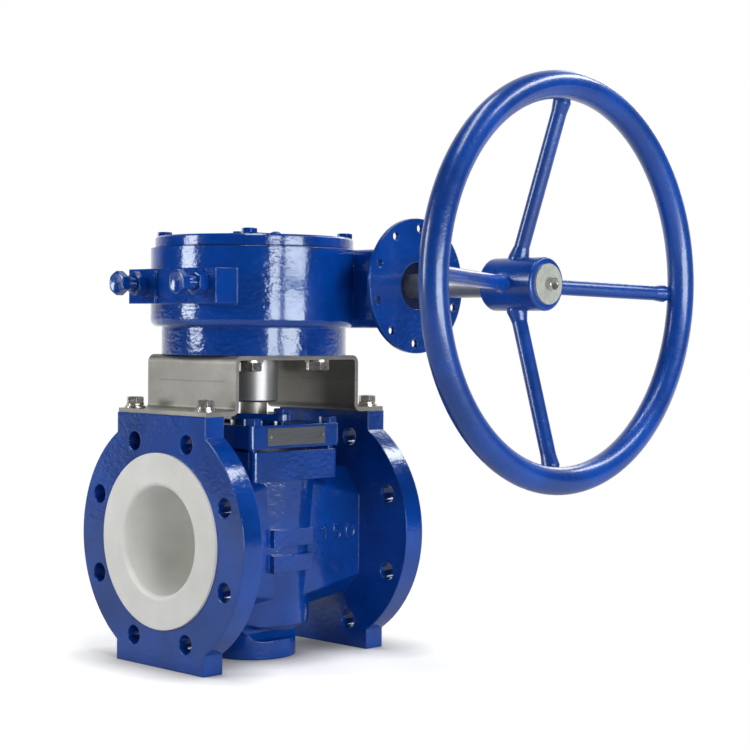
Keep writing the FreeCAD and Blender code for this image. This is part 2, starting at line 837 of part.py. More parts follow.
def gland_follower():
    """Oval plate with a sleeve that presses on the packing."""
    body = new_body("gland_blank")
    flare = "(gland_radius - gland_end_radius) / gland_reach"
    corners = []
    for i, j in CORNERS:
        near = ("%d * gland_radius * sqrt(1 - (%s) ^ 2)" % (i, flare), "%d * gland_radius * %s" % (j, flare))
        far = ("%d * gland_end_radius * sqrt(1 - (%s) ^ 2)" % (i, flare),
               "%d * (gland_reach + gland_end_radius * %s)" % (j, flare))
        corners += [near, far] if i * j > 0 else [far, near]
    web = polygon(body, "gland_outline", "XY_Plane", corners, "gland_bottom")
    pad(body, "gland_web", web, "gland_thickness")
    middle = circles(body, "gland_middle_outline", "XY_Plane", [("0", "0")], "gland_radius", "gland_bottom")
    pad(body, "gland_middle", middle, "gland_thickness")
    ends = circles(body, "gland_ends_outline", "XY_Plane", [("0", "gland_reach"), ("0", "-gland_reach")],
                   "gland_end_radius", "gland_bottom")
    pad(body, "gland_ends", ends, "gland_thickness")
    sleeve_start = "stuffing_floor + packing_height"
    sleeve = circles(body, "gland_sleeve_outline", "XY_Plane", [("0", "0")], "stuffing_radius - thread_fit",
                     sleeve_start)
    pad(body, "gland_sleeve", sleeve, "stuffing_depth - packing_height + gland_gap")
    stem_hole = cylinder("gland_stem_hole", "stem_radius + stem_gap", "4 * gland_thickness",
                         ("0", "0", sleeve_start))
    tools = [stem_hole] + holes("gland_hole", "b", "gland_thickness", lowered(GLAND_BOLTS, "gland_thickness"))
    return cut("gland_follower", body, tools)


def nameplate():
    rivets = []
    for side in (-1, 1):
        rivets.append(cylinder("rivet_%d" % (side + 2), "rivet_radius", "3 * plate_thickness",
                               ("%d * (plate_length / 2 - rivet_inset)" % side, "-bonnet_width / 2",
                                "bonnet_middle"), TO_WHEEL))
    plate = block("plate_blank", "plate_length", "plate_thickness", "plate_height",
                  ("-plate_length / 2", "-bonnet_width / 2 - plate_thickness",
                   "bonnet_middle - plate_height / 2"))
    cut("nameplate", plate, rivets)
    group("nameplate_rivets", rivets)


# Bracket

def bracket():
    """A bent plate: two feet, two legs and the table for the gearbox."""
    right = [("bracket_end", "flange_top"), ("bracket_end", "bracket_foot"), ("leg_face", "bracket_foot"),
             ("leg_face", "bracket_top")]
    left = [("-" + x, z) for x, z in reversed(right)]
    table = "bracket_top - bracket_plate"
    under = [("-leg_inside", "flange_top"), ("-leg_inside", table), ("leg_inside", table),
             ("leg_inside", "flange_top")]
    body = new_body("bracket_blank")
    sketch = polygon(body, "bracket_profile", "XZ_Plane", right + left + under)
    pad(body, "bracket_sheet", sketch, "pad_width", both=True)
    round_corners(body, "outer_bends", "bend_radius", sketch, (3, 4, 8, 11))
    round_corners(body, "inner_bends", "bend_radius - bracket_plate", sketch, (2, 5, 9, 10))
    tools = [cylinder("bracket_middle_hole", "bracket_hole / 2", "2 * bracket_plate",
                      ("0", "0", "bracket_top - 2 * bracket_plate"))]
    tools += holes("foot_hole", "c", "bracket_plate", lowered(FOOT_BOLTS, "bracket_plate"), gap="hole_gap")
    tools += holes("gearbox_hole", "d", "bracket_plate", GEARBOX_BOLTS, gap="hole_gap")
    return cut("bracket", body, tools)


# Gearbox

def gearbox_housing():
    """Housing with stop lugs, worm chamber and input flange in one casting."""
    blank = turned("housing_shell", [
        ("0", "bracket_top"), ("neck_radius", "bracket_top"), ("neck_radius", "housing_bottom"),
        ("housing_radius", "housing_bottom"), ("housing_radius", "housing_top"), ("0", "housing_top")])
    round_rim(blank, "housing_lower_rim", "housing_rounding", 3)
    chamber = worm_chamber()
    low = "worm_height - lug_drop - lug_height / 2"
    lugs = [block("stop_lug_%d" % (side + 2), "lug_face - gear_room_radius", "lug_width", "lug_height",
                  ("-lug_face", "%d * stop_spread / 2 - lug_width / 2" % side, low))
            for side in (-1, 1)]
    lugs.append(block("lug_pad", "lug_pad_face - gear_room_radius", "stop_spread", "lug_height",
                      ("-lug_pad_face", "-stop_spread / 2", low)))
    solid = fuse("housing_solid", [blank, chamber] + lugs)
    room = cylinder("gear_room", "gear_room_radius", "housing_top - gear_room_floor",
                    ("0", "0", "gear_room_floor"))
    bush_seat = cylinder("lower_bush_seat", "bush_radius", "bush_length",
                         ("0", "0", "gear_room_floor - bush_length"))
    throat = cylinder("housing_throat", "coupling_radius + hole_gap", "gear_room_floor - bracket_top",
                      ("0", "0", "bracket_top"))
    bore = cylinder("worm_bore", "chamber_bore", "disc_face + chamber_rear",
                    ("centre_distance", "chamber_rear", "worm_height"), TO_WHEEL)
    tools = [room, bush_seat, throat, bore]
    tools += holes("housing_tapping", "d", "gearbox_bolt_length - bracket_plate",
                   lowered(GEARBOX_BOLTS, "-bracket_plate"))
    tools += holes("cover_tapping", "b", "cover_bolt_length", lowered(COVER_BOLTS, "cover_bolt_length"))
    tools += holes("stop_tapping", "d", "lug_face - gear_room_radius / 2",
                   [("-gear_room_radius / 2", y, z) for x, y, z in STOP_BOLTS], TO_INLET)
    tools += holes("cap_tapping", "a", "cap_screw_length + hole_room",
                   [(x, "chamber_rear", z) for x, y, z in cap_spots()], TO_WHEEL)
    return cut("gearbox_housing", solid, tools)


def worm_chamber():
    """Rounded block along the worm, ending in the drilled input flange."""
    body = new_body("worm_chamber")
    middle = "(housing_top + housing_bottom) / 2 - worm_height"
    section = rectangle(body, "chamber_section", "XY_Plane", "chamber_width",
                        "(housing_top - housing_bottom)", ("0", middle), "-chamber_rear")
    pad(body, "chamber_length", section, "chamber_rear + disc_face - disc_thickness / 2")
    round_corners(body, "chamber_corners", "chamber_corner", section, range(4))
    disc = circles(body, "disc_outline", "XY_Plane", [("0", "0")], "disc_radius",
                   "disc_face - disc_thickness")
    pad(body, "input_disc", disc, "disc_thickness")
    spots = round_spots("disc_bolt_circle", DISC_HOLES, "disc_bolt_start", "0", "0")
    drilled = circles(body, "disc_holes_outline", "XY_Plane", spots, "disc_bolt_hole / 2", "disc_face")
    pocket(body, "disc_holes", drilled, "2 * disc_thickness")
    return place(body, ("centre_distance", "0", "worm_height"), TO_WHEEL)


def cap_spots():
    places = []
    for x, z in round_spots("cap_bolt_circle", CAP_SCREWS, "%g" % (180 / CAP_SCREWS), "centre_distance",
                            "worm_height"):
        places.append((x, "chamber_rear + cap_thickness", z))
    return places


def gearbox_cover():
    """Round cover with the upper bearing seat under it."""
    blank = turned("cover_blank", [
        ("spindle_radius + thrust_gap", "cover_top"), ("cover_radius - cover_edge", "cover_top"),
        ("cover_radius", "cover_top - cover_edge"), ("cover_radius", "cover_bottom"),
        ("cover_boss_radius", "cover_bottom"), ("cover_boss_radius", "cover_bottom - cover_boss_depth"),
        ("bush_radius", "cover_bottom - cover_boss_depth"), ("bush_radius", "cover_bottom"),
        ("spindle_radius + thrust_gap", "cover_bottom")])
    tools = holes("cover_hole", "b", "cover_thickness", lowered(COVER_BOLTS, "cover_thickness"))
    tools.append(cylinder("vent_hole", "vent_radius - thread_fit", "cover_thickness",
                          ("vent_x", "vent_y", "cover_bottom")))
    return cut("gearbox_cover", blank, tools)


def gearbox_small_parts():
    """Gasket, bushes, vent, bearings, seal, circlip and rear cap."""
    flat = ring("gasket_blank", "gear_room_radius", "cover_radius - cover_edge", "housing_top",
                "cover_gasket")
    cut("gearbox_gasket", flat, holes("gasket_hole", "b", "cover_gasket",
                                      lowered(COVER_BOLTS, "(cover_thickness + cover_gasket)")))
    ring("lower_wheel_bush", "hub_radius + plug_fit", "bush_radius", "gear_room_floor - bush_length",
         "bush_length")
    ring("upper_wheel_bush", "hub_radius + plug_fit", "bush_radius", "cover_bottom - cover_boss_depth",
         "cover_boss_depth")
    low = "cover_top - cover_thickness / 2"
    turned("vent_plug", [
        ("0", low), ("vent_radius - 2 * thread_fit", low), ("vent_radius - 2 * thread_fit", "cover_top"),
        ("vent_radius + vent_flange", "cover_top"),
        ("vent_radius + vent_flange", "cover_top + vent_length / 2"),
        ("vent_radius - 2 * vent_flange", "cover_top + vent_length"), ("0", "cover_top + vent_length")],
        ("vent_x", "vent_y", "0"))
    axis = ("centre_distance", "0", "worm_height")
    races = [ring("bearing_" + word, "shaft_radius + shaft_fit", "chamber_bore", start, "bearing_width",
                  axis, TO_WHEEL)
             for word, start in (("front", "bearing_place"), ("rear", "-(bearing_place + bearing_width)"))]
    group("worm_bearings", races)
    ring("bearing_circlip", "chamber_bore - circlip_height", "chamber_bore", "bearing_place + bearing_width",
         "circlip_width", axis, TO_WHEEL)
    ring("shaft_seal", "shaft_radius + shaft_fit", "chamber_bore", "disc_face - seal_depth - seal_width",
         "seal_width", axis, TO_WHEEL)
    cap = turned("end_cap_blank", [
        ("0", "-(chamber_rear + cap_thickness)"), ("cap_radius", "-(chamber_rear + cap_thickness)"),
        ("cap_radius", "-chamber_rear"), ("chamber_bore - thread_fit", "-chamber_rear"),
        ("chamber_bore - thread_fit", "-(bearing_place + bearing_width)"),
        ("shaft_radius + cap_room", "-(bearing_place + bearing_width)"),
        ("shaft_radius + cap_room", "-(chamber_rear - cap_room)"), ("0", "-(chamber_rear - cap_room)")],
        axis, TO_WHEEL)
    cut("worm_end_cap", cap, holes("cap_hole", "a", "cap_thickness", cap_spots(), TO_WHEEL))
    bolts("end_cap_screws", "a", "cap_screw_length", cap_spots(), Rotation(Vector(1, 0, 0), -90))


def stops():
    """Stop bolts with lock nuts on the lug faces; the tips meet the quadrant wheel."""
    bolts("stop_bolts", "d", "(stop_head_place - quadrant_reach - stop_gap)", STOP_BOLTS, TO_INLET)
    nuts = []
    for i, (x, y, z) in enumerate(STOP_BOLTS, start=1):
        nut = hexagon("nut_blank_%d" % i, "flats_d", "nut_d", ("-lug_face", y, z), TO_INLET)
        hole = cylinder("nut_hole_%d" % i, "thread_d / 2", "nut_d", ("-lug_face", y, z), TO_INLET)
        nuts.append(cut("lock_nut_%d" % i, nut, [hole]))
    group("stop_lock_nuts", nuts)


# Worm and quadrant wheel

def worm_shaft():
    """Shaft with the worm thread, drawn along its own axis towards the handwheel."""
    body = new_body("worm_shaft_blank")
    half = "worm_turns * worm_pitch / 2 + tooth_module"
    root = "worm_pitch_radius - tooth_module - tip_clearance"
    profile = polygon(body, "shaft_profile", "XZ_Plane", [
        ("0", "-shaft_rear"), ("shaft_radius", "-shaft_rear"), ("shaft_radius", "-(%s)" % half),
        (root, "-(%s)" % half), (root, half), ("shaft_radius", half), ("shaft_radius", "shaft_end"),
        ("0", "shaft_end")])
    spin = body.newObject("PartDesign::Revolution", "shaft_turning")
    spin.Profile = profile
    spin.ReferenceAxis = (profile, ["V_Axis"])
    start = "worm_turns * worm_pitch / 2"
    middle = "(worm_pitch / 4 - backlash / 4)"
    foot_width = middle + " + (tooth_module + tip_clearance) * tan(pressure_angle)"
    tip_width = middle + " - tooth_module * tan(pressure_angle)"
    tip = "worm_pitch_radius + tooth_module"
    foot = root + " - thread_sink"
    thread = polygon(body, "thread_section", "XZ_Plane", [
        (foot, "-(%s) - (%s)" % (start, foot_width)), (tip, "-(%s) - (%s)" % (start, tip_width)),
        (tip, "-(%s) + (%s)" % (start, tip_width)), (foot, "-(%s) + (%s)" % (start, foot_width))])
    helix = body.newObject("PartDesign::AdditiveHelix", "worm_thread")
    helix.Profile = thread
    helix.ReferenceAxis = (thread, ["V_Axis"])
    helix.Mode = "pitch-height-angle"
    helix.LeftHanded = False
    helix.Reversed = False
    bind(helix, Pitch="worm_pitch", Height="worm_turns * worm_pitch")
    place(body, ("centre_distance", "0", "worm_height"), TO_WHEEL)
    screw_hole = cylinder("shaft_end_hole", "thread_a / 2", "end_screw_length",
                          ("centre_distance", "-(shaft_end - end_screw_length)", "worm_height"), TO_WHEEL)
    return cut("worm_shaft", body, [doc.getObject("handwheel_key"), screw_hole])


def tooth_half_angle(radius, pitch_radius, base_radius, thickness):
    """Half the angle that an involute tooth takes up at a radius."""

    def involute(value):
        cosine = min(1.0, base_radius / value)
        angle = math.acos(cosine)
        return math.tan(angle) - angle

    return thickness / (2 * pitch_radius) + involute(pitch_radius) - involute(max(radius, base_radius))


def gear_outline(turn, height):
    """The full toothed rim as one closed wire, with a gap at angle zero before the turn."""
    teeth = int(round(size("wheel_teeth")))
    pitch_radius = size("tooth_module") * teeth / 2
    base_radius = pitch_radius * math.cos(math.radians(size("pressure_angle")))
    root = pitch_radius - size("tooth_module") - size("tip_clearance")
    tip = pitch_radius + size("tooth_module")
    thickness = math.pi * size("tooth_module") / 2 - size("backlash") / 2
    radii = [root + (tip - root) * step for step in FLANK_STEPS]
    points = []
    for tooth in range(teeth):
        middle = 2 * math.pi * (tooth + 0.5) / teeth + turn
        for side, steps in ((-1, radii), (1, reversed(radii))):
            for radius in steps:
                angle = middle + side * tooth_half_angle(radius, pitch_radius, base_radius, thickness)
                points.append(Vector(radius * math.cos(angle), radius * math.sin(angle), height))
    return Part.makePolygon(points + points[:1])


def quadrant_wheel():
    """Quadrant of a worm wheel: slanted teeth, square ends that meet the stop bolts."""
    width = size("quadrant_width")
    lead = size("tooth_module") / 2 / size("worm_pitch_radius")
    slant = lead * width / (size("tooth_module") * size("wheel_teeth"))
    rim = doc.addObject("Part::Feature", "toothed_rim")
    rim.Shape = Part.makeLoft([gear_outline(-slant, 0), gear_outline(slant, width)], True, True)
    place(rim, ("0", "0", "worm_height - quadrant_width / 2"))
    reach = "wheel_radius + 2 * tooth_module"
    keep = block("quadrant_room", "quadrant_reach + " + reach, "quadrant_reach + " + reach, "quadrant_width",
                 ("-quadrant_reach", "-quadrant_reach", "worm_height - quadrant_width / 2"))
    quadrant = doc.addObject("Part::Common", "quadrant")
    quadrant.Base = rim
    quadrant.Tool = keep
    hub = cylinder("quadrant_hub", "hub_radius", "hub_top - hub_bottom", ("0", "0", "hub_bottom"))
    bore = cylinder("quadrant_bore", "shank_radius + shaft_fit", "hub_top - hub_bottom",
                    ("0", "0", "hub_bottom"))
    return cut("quadrant_wheel", fuse("quadrant_solid", [quadrant, hub]), [bore, doc.getObject("wheel_key")])


def coupling():
    """Turned coupling: bored for the stem below, a keyed shank for the wheel above."""
    blank = turned("coupling_blank", [
        ("stem_radius + stem_fit", "coupling_bottom"),
        ("coupling_radius - coupling_chamfer", "coupling_bottom"),
        ("coupling_radius", "coupling_bottom + coupling_chamfer"), ("coupling_radius", "coupling_shoulder"),
        ("shank_radius", "coupling_shoulder"), ("shank_radius", "shank_top"), ("0", "shank_top"),
        ("0", "stem_top + end_play"), ("stem_radius + stem_fit", "stem_top + end_play")])
    return cut("coupling", blank, [doc.getObject("stem_key"), doc.getObject("wheel_key")])


def wheel_key():
    return block("wheel_key", "key_height", "key_width", "wheel_key_length",
                 ("shank_radius - key_height / 2", "-key_width / 2", "worm_height - wheel_key_length / 2"))


def position_indicator():
    """Disc with a raised pointer that shows the port's direction above the cover."""
    disc = turned("indicator_disc", [
        ("0", "shank_top"), ("spindle_radius", "shank_top"), ("spindle_radius", "cover_top + thrust_gap"),
        ("indicator_radius", "cover_top + thrust_gap"),
        ("indicator_radius", "cover_top + thrust_gap + indicator_thickness - indicator_edge"),
        ("indicator_radius - indicator_edge", "cover_top + thrust_gap + indicator_thickness"),
        ("0", "cover_top + thrust_gap + indicator_thickness")])
    pointer = block("pointer", "2 * pointer_length", "pointer_width", "indicator_thickness / 2",
                    ("-pointer_length", "-pointer_width / 2", "cover_top + thrust_gap + indicator_thickness"))
    return fuse("position_indicator", [disc, pointer])


# Handwheel

def handwheel_key():
    return block("handwheel_key", "key_width", "key_height", "handwheel_key_length",
                 ("centre_distance - key_width / 2",
                  "-(wheel_hub_back + wheel_hub_front) / 2 + handwheel_key_length / 2",
                  "worm_height + shaft_radius - key_height / 2"), TO_WHEEL)


def handwheel():
    """Hub, four dished spokes with flared ends, and a round rim."""
    body = new_body("handwheel_blank")
    hub = circles(body, "hub_outline", "XY_Plane", [("0", "0")], "wheel_hub_radius", "wheel_hub_back")
    pad(body, "hub", hub, "wheel_hub_length")
    round_edges(body, "hub_edges", "wheel_hub_rounding", lambda edge: True)
    spoke = spoke_turning(body)
    pattern = body.newObject("PartDesign::PolarPattern", "spokes")
    pattern.Originals = [spoke]
    pattern.Axis = (origin_feature(body, "Z_Axis"), [""])
    pattern.Angle = 360
    bind(pattern, Occurrences="spoke_count")
    body.Tip = pattern
    tube = circles(body, "rim_section", "XZ_Plane", [("rim_radius", "rim_plane")], "rim_tube / 2")
    rim = body.newObject("PartDesign::Revolution", "rim")
    rim.Profile = tube
    rim.ReferenceAxis = (tube, ["V_Axis"])
    rim.Angle = 360
    turn = TO_WHEEL.multiply(Rotation(Z_AXIS, -size("spoke_turn")))
    place(body, ("centre_distance", "0", "worm_height"), turn)
    bore = cylinder("handwheel_bore", "shaft_radius + shaft_fit", "wheel_hub_length",
                    ("centre_distance", "-wheel_hub_back", "worm_height"), TO_WHEEL)
    return cut("handwheel", body, [bore, doc.getObject("handwheel_key")])


def spoke_turning(body):
    """One spoke, turned about its own sloping axis; its first line is that axis."""
    bend = "sqrt(1 + (spoke_slope) ^ 2)"
    inner = "shaft_radius + spoke_flare"
    outer = "rim_radius"
    stations = [
        (outer, "spoke_radius / 2"),
        ("rim_radius - rim_tube / 2", "spoke_radius + spoke_flare / 2"),
        ("rim_radius - rim_tube / 2 - spoke_flare_length", "spoke_radius"),
        ("wheel_hub_radius + spoke_flare_length", "spoke_radius"),
        ("wheel_hub_radius", "spoke_radius + spoke_flare"),
        (inner, "spoke_radius + spoke_flare"),
    ]
    corners = []
    for out, radius in [(inner, "0"), (outer, "0")] + stations:
        corners.append(("%s - (%s) * spoke_slope / %s" % (out, radius, bend),
                        "spoke_start + (%s) * spoke_slope + (%s) / %s" % (out, radius, bend)))
    sketch = polygon(body, "spoke_profile", "XZ_Plane", corners)
    spoke = body.newObject("PartDesign::Revolution", "spoke")
    spoke.Profile = sketch
    spoke.ReferenceAxis = (sketch, ["Edge1"])
    spoke.Angle = 360
    return spoke


def handwheel_fastening():
    """End washer, spring washer and screw that hold the handwheel on its shaft."""
    front = ("centre_distance", "-wheel_hub_front", "worm_height")
    washer("handwheel_washer", "a", "end_washer_radius", "end_washer_thickness", front, TO_WHEEL)
    next_place = ("centre_distance", "-(wheel_hub_front + end_washer_thickness)", "worm_height")
    washer("handwheel_spring_washer", "a", "flats_a / 2 + spring_washer_lap", "washer_c_thickness",
           next_place, TO_WHEEL)
    seat = ("centre_distance", "-(wheel_hub_front + end_washer_thickness + washer_c_thickness)",
            "worm_height")
    length = "(shaft_recess + end_washer_thickness + washer_c_thickness + end_screw_length - hole_room)"
    bolt("handwheel_screw", "a", length, seat, TO_WHEEL)


# The whole assembly

def build():
    fill_sheet()
    stem_key()
    wheel_key()
    handwheel_key()
    liner_envelope()
    body_casting()
    body_liner()
    plug_core()
    plug_lining()
    thrust_ring()
    ring("bonnet_diaphragm", "stem_radius + stem_gap", "diaphragm_radius", "head_top", "diaphragm_thickness")
    bonnet()
    bolts("bonnet_bolts", "c", "bonnet_bolt_length", BONNET_BOLTS)
    ring("stem_packing", "stem_radius + stem_fit", "stuffing_radius - thread_fit", "stuffing_floor",
         "packing_height")
    gland_follower()
    bolts("gland_bolts", "b", "gland_bolt_length", GLAND_BOLTS)
    nameplate()
    bracket()
    stack = "(washer_c_thickness + spring_washer_thickness)"
    bolts("bracket_bolts", "c", "foot_bolt_length", FOOT_BOLTS, seat=stack)
    washers("bracket_washers", "c", "washer_c_radius", "washer_c_thickness", FOOT_BOLTS)
    washers("bracket_spring_washers", "c", "spring_washer_radius", "spring_washer_thickness",
            lowered(FOOT_BOLTS, "-washer_c_thickness"))
    bolts("gearbox_bolts", "d", "gearbox_bolt_length", GEARBOX_BOLTS, UPSIDE_DOWN, "washer_d_thickness")
    washers("gearbox_washers", "d", "washer_d_radius", "washer_d_thickness", GEARBOX_BOLTS, UPSIDE_DOWN)
    gearbox_housing()
    gearbox_cover()
    bolts("cover_bolts", "b", "cover_bolt_length", COVER_BOLTS)
    gearbox_small_parts()
    stops()
    coupling()
    quadrant_wheel()
    position_indicator()
    worm_shaft()
    handwheel()
    handwheel_fastening()
    doc.recompute()


NODES = [
    "body_casting", "body_liner", "thrust_ring", "bonnet_diaphragm", "bonnet", "bonnet_bolts",
    "stem_packing", "gland_follower", "gland_bolts", "nameplate", "nameplate_rivets", "bracket",
    "bracket_bolts", "bracket_washers", "bracket_spring_washers", "gearbox_bolts", "gearbox_washers",
    "gearbox_housing", "gearbox_gasket", "gearbox_cover", "cover_bolts", "vent_plug",
    "lower_wheel_bush", "upper_wheel_bush", "worm_bearings", "bearing_circlip", "shaft_seal",
    "worm_end_cap", "end_cap_screws", "stop_bolts", "stop_lock_nuts", "plug_core", "plug_lining",
    "stem_key", "coupling", "wheel_key", "quadrant_wheel", "position_indicator", "worm_shaft",
    "handwheel_key", "handwheel", "handwheel_washer", "handwheel_spring_washer", "handwheel_screw",
]


def check():
    """Stop when an object failed or a node has no sound shape."""
    for item in doc.Objects:
        if "Invalid" in item.State or "Error" in item.State:
            raise RuntimeError("%s failed: %s" % (item.Name, item.State))
    for name in NODES:
        shape = doc.getObject(name).Shape
        if shape.isNull() or not shape.isValid() or not shape.Solids:
            raise RuntimeError(name + " has no valid solid")


def write():
    os.makedirs("parts", exist_ok=True)
    for name in NODES:
        node = doc.getObject(name)
        node.Label = name
        node.Shape.exportStep("parts/%s.step" % name)


build()
check()
write()
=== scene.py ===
import json
import math

import bmesh
import bpy
import numpy as np
from mathutils import Matrix, Vector

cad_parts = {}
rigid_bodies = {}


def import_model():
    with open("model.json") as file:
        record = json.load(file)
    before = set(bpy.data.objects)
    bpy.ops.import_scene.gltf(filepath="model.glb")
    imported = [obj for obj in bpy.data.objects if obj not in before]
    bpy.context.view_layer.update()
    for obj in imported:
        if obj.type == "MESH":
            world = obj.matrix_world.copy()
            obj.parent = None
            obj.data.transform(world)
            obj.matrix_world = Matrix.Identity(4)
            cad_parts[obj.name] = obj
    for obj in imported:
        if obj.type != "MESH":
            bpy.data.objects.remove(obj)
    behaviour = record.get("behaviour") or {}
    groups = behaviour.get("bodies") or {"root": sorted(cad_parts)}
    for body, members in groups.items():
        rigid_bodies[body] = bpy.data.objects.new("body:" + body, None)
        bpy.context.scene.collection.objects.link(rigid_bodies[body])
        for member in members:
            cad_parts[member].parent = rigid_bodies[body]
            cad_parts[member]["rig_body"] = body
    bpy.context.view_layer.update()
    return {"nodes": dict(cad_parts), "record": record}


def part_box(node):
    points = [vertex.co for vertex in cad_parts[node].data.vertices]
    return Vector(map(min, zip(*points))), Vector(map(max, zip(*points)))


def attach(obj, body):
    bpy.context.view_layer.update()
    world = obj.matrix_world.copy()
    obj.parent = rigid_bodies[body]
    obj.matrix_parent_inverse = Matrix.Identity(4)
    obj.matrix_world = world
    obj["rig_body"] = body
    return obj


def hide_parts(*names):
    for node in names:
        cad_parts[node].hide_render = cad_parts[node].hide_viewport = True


# Looks of a lined plug valve with a worm gearbox and a handwheel. Lengths are metres.

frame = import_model()
NODES = frame["nodes"]
SLOT_OF = {part["node"]: part["material_slot"] for part in frame["record"]["subparts"]}
BODY_OF = {node: NODES[node]["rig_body"] for node in NODES}

MM = 0.001


def add_object(name, data):
    """A new object, placed in the scene."""
    made = bpy.data.objects.new(name, data)
    bpy.context.scene.collection.objects.link(made)
    return made


# Camera

CAMERA_AZIMUTH = math.radians(-45.65)
CAMERA_ELEVATION = math.radians(1.50)
CAMERA_ROLL = math.radians(0.45)
CAMERA_PLACE = Vector((-1.38304, -1.55143, 0.38290))
CAMERA_LENS = 84.58
SENSOR_WIDTH = 36
VIEW_START = 0.05
VIEW_END = 60


def towards(azimuth, elevation):
    """Unit vector from the object towards a camera or lamp at these angles."""
    level = math.cos(elevation)
    return Vector((math.sin(azimuth) * level, -math.cos(azimuth) * level, math.sin(elevation)))


def make_camera():
    back = towards(CAMERA_AZIMUTH, CAMERA_ELEVATION)
    level_right = Vector((math.cos(CAMERA_AZIMUTH), math.sin(CAMERA_AZIMUTH), 0))
    level_up = back.cross(level_right)
    right = math.cos(CAMERA_ROLL) * level_right + math.sin(CAMERA_ROLL) * level_up
    up = math.cos(CAMERA_ROLL) * level_up - math.sin(CAMERA_ROLL) * level_right
    data = bpy.data.cameras.new("camera")
    data.lens = CAMERA_LENS
    data.sensor_width = SENSOR_WIDTH
    data.clip_start = VIEW_START
    data.clip_end = VIEW_END
    camera = add_object("camera", data)
    turn = Matrix((right, up, back)).transposed().to_4x4()
    camera.matrix_world = Matrix.Translation(CAMERA_PLACE) @ turn
    bpy.context.scene.camera = camera


# Node trees

# Most values of a noise lie between these
NOISE_LOW = 0.3
NOISE_HIGH = 0.7
EDGE_SAMPLES = 6


class Shader:
    """The node tree of a material or of the world, with short calls for the nodes used here."""

    def __init__(self, name, kind="Material"):
        store = bpy.data.worlds if kind == "World" else bpy.data.materials
        self.owner = store.new(name)
        self.owner.use_nodes = True
        self.tree = self.owner.node_tree
        self.tree.nodes.clear()
        self.output = self.node("ShaderNodeOutput" + kind)

    def node(self, kind, **values):
        made = self.tree.nodes.new(kind)
        for key, value in values.items():
            setattr(made, key, value)
        return made

    def feed(self, socket, value):
        """Link a socket, or set its own value."""
        if isinstance(value, bpy.types.NodeSocket):
            self.tree.links.new(value, socket)
        else:
            socket.default_value = value

    def show(self, surface):
        """Send a surface to the output, and give back what the tree belongs to."""
        self.feed(self.output.inputs["Surface"], surface)
        return self.owner

    def principled(self, **sockets):
        surface = self.node("ShaderNodeBsdfPrincipled")
        for key, value in sockets.items():
            self.feed(surface.inputs[key.replace("_", " ")], value)
        return self.show(surface.outputs[0])

    def point(self, kind="Object"):
        return self.node("ShaderNodeTexCoord").outputs[kind]

    def axes(self):
        """The X, Y and Z of the point on the object."""
        split = self.node("ShaderNodeSeparateXYZ")
        self.feed(split.inputs[0], self.point())
        return tuple(split.outputs)

    def stretched(self, *scale):
        """The point on the object, stretched along its axes."""
        mapping = self.node("ShaderNodeMapping")
        self.feed(mapping.inputs["Vector"], self.point())
        mapping.inputs["Scale"].default_value = scale
        return mapping.outputs[0]

    def noise(self, scale, detail=3.0, roughness=0.5, place=None):
        """Noise with so many cells to the metre."""
        made = self.node("ShaderNodeTexNoise")
        self.feed(made.inputs["Vector"], place or self.point())
        made.inputs["Scale"].default_value = scale
        made.inputs["Detail"].default_value = detail
        made.inputs["Roughness"].default_value = roughness
        return made.outputs["Fac"]

    def span(self, value, low, high, to_low=0.0, to_high=1.0):
        """Map a value from low to high onto another range, and hold it there beyond its ends."""
        made = self.node("ShaderNodeMapRange")
        ends = {"Value": value, "From Min": low, "From Max": high, "To Min": to_low, "To Max": to_high}
        for key, end in ends.items():
            self.feed(made.inputs[key], end)
        return made.outputs[0]

    def spread(self, noise, to_low=0.0, to_high=1.0):
        """Map a noise onto a whole range."""
        return self.span(noise, NOISE_LOW, NOISE_HIGH, to_low, to_high)

    def blend(self, share, first, second):
        """A colour between two others."""
        made = self.node("ShaderNodeMix", data_type="RGBA")
        self.feed(made.inputs[0], share)
        self.feed(made.inputs[6], first)
        self.feed(made.inputs[7], second)
        return made.outputs[2]

    def maths(self, operation, first, second=0.0):
        made = self.node("ShaderNodeMath", operation=operation)
        self.feed(made.inputs[0], first)
        self.feed(made.inputs[1], second)
        return made.outputs[0]

    def measure(self, operation, first, second=(0, 0, 0)):
        """A number worked out from vectors, such as a length."""
        made = self.node("ShaderNodeVectorMath", operation=operation)
        self.feed(made.inputs[0], first)
        self.feed(made.inputs[1], second)
        return made.outputs["Value"]

    def bump(self, height, distance, strength, normal=None):
        made = self.node("ShaderNodeBump")
        made.inputs["Strength"].default_value = strength
        made.inputs["Distance"].default_value = distance
        self.feed(made.inputs["Height"], height)
        if normal:
            self.feed(made.inputs["Normal"], normal)
        return made.outputs[0]

    def soft_edge(self, radius):
        made = self.node("ShaderNodeBevel", samples=EDGE_SAMPLES)
        made.inputs["Radius"].default_value = radius
        return made.outputs[0]

    def shiny_rays(self, path):
        """One for the rays that a glossy or clear surface sends on."""
        return self.maths("MAXIMUM", path.outputs["Is Glossy Ray"], path.outputs["Is Transmission Ray"])


def colour(red, green, blue):
    """A colour given as screen values from 0 to 255, made linear by the standard screen curve."""
    linear = []
    for value in (red, green, blue):
        share = value / 255
        linear.append(share / 12.92 if share <= 0.04045 else ((share + 0.055) / 1.055) ** 2.4)
    return (*linear, 1.0)


def grey(share):
    return (share, share, share, 1)


# Materials

SPECK_SHARE = 0.10
PAINT_TINT = (0.78, 0.92, 1.0, 1.0)


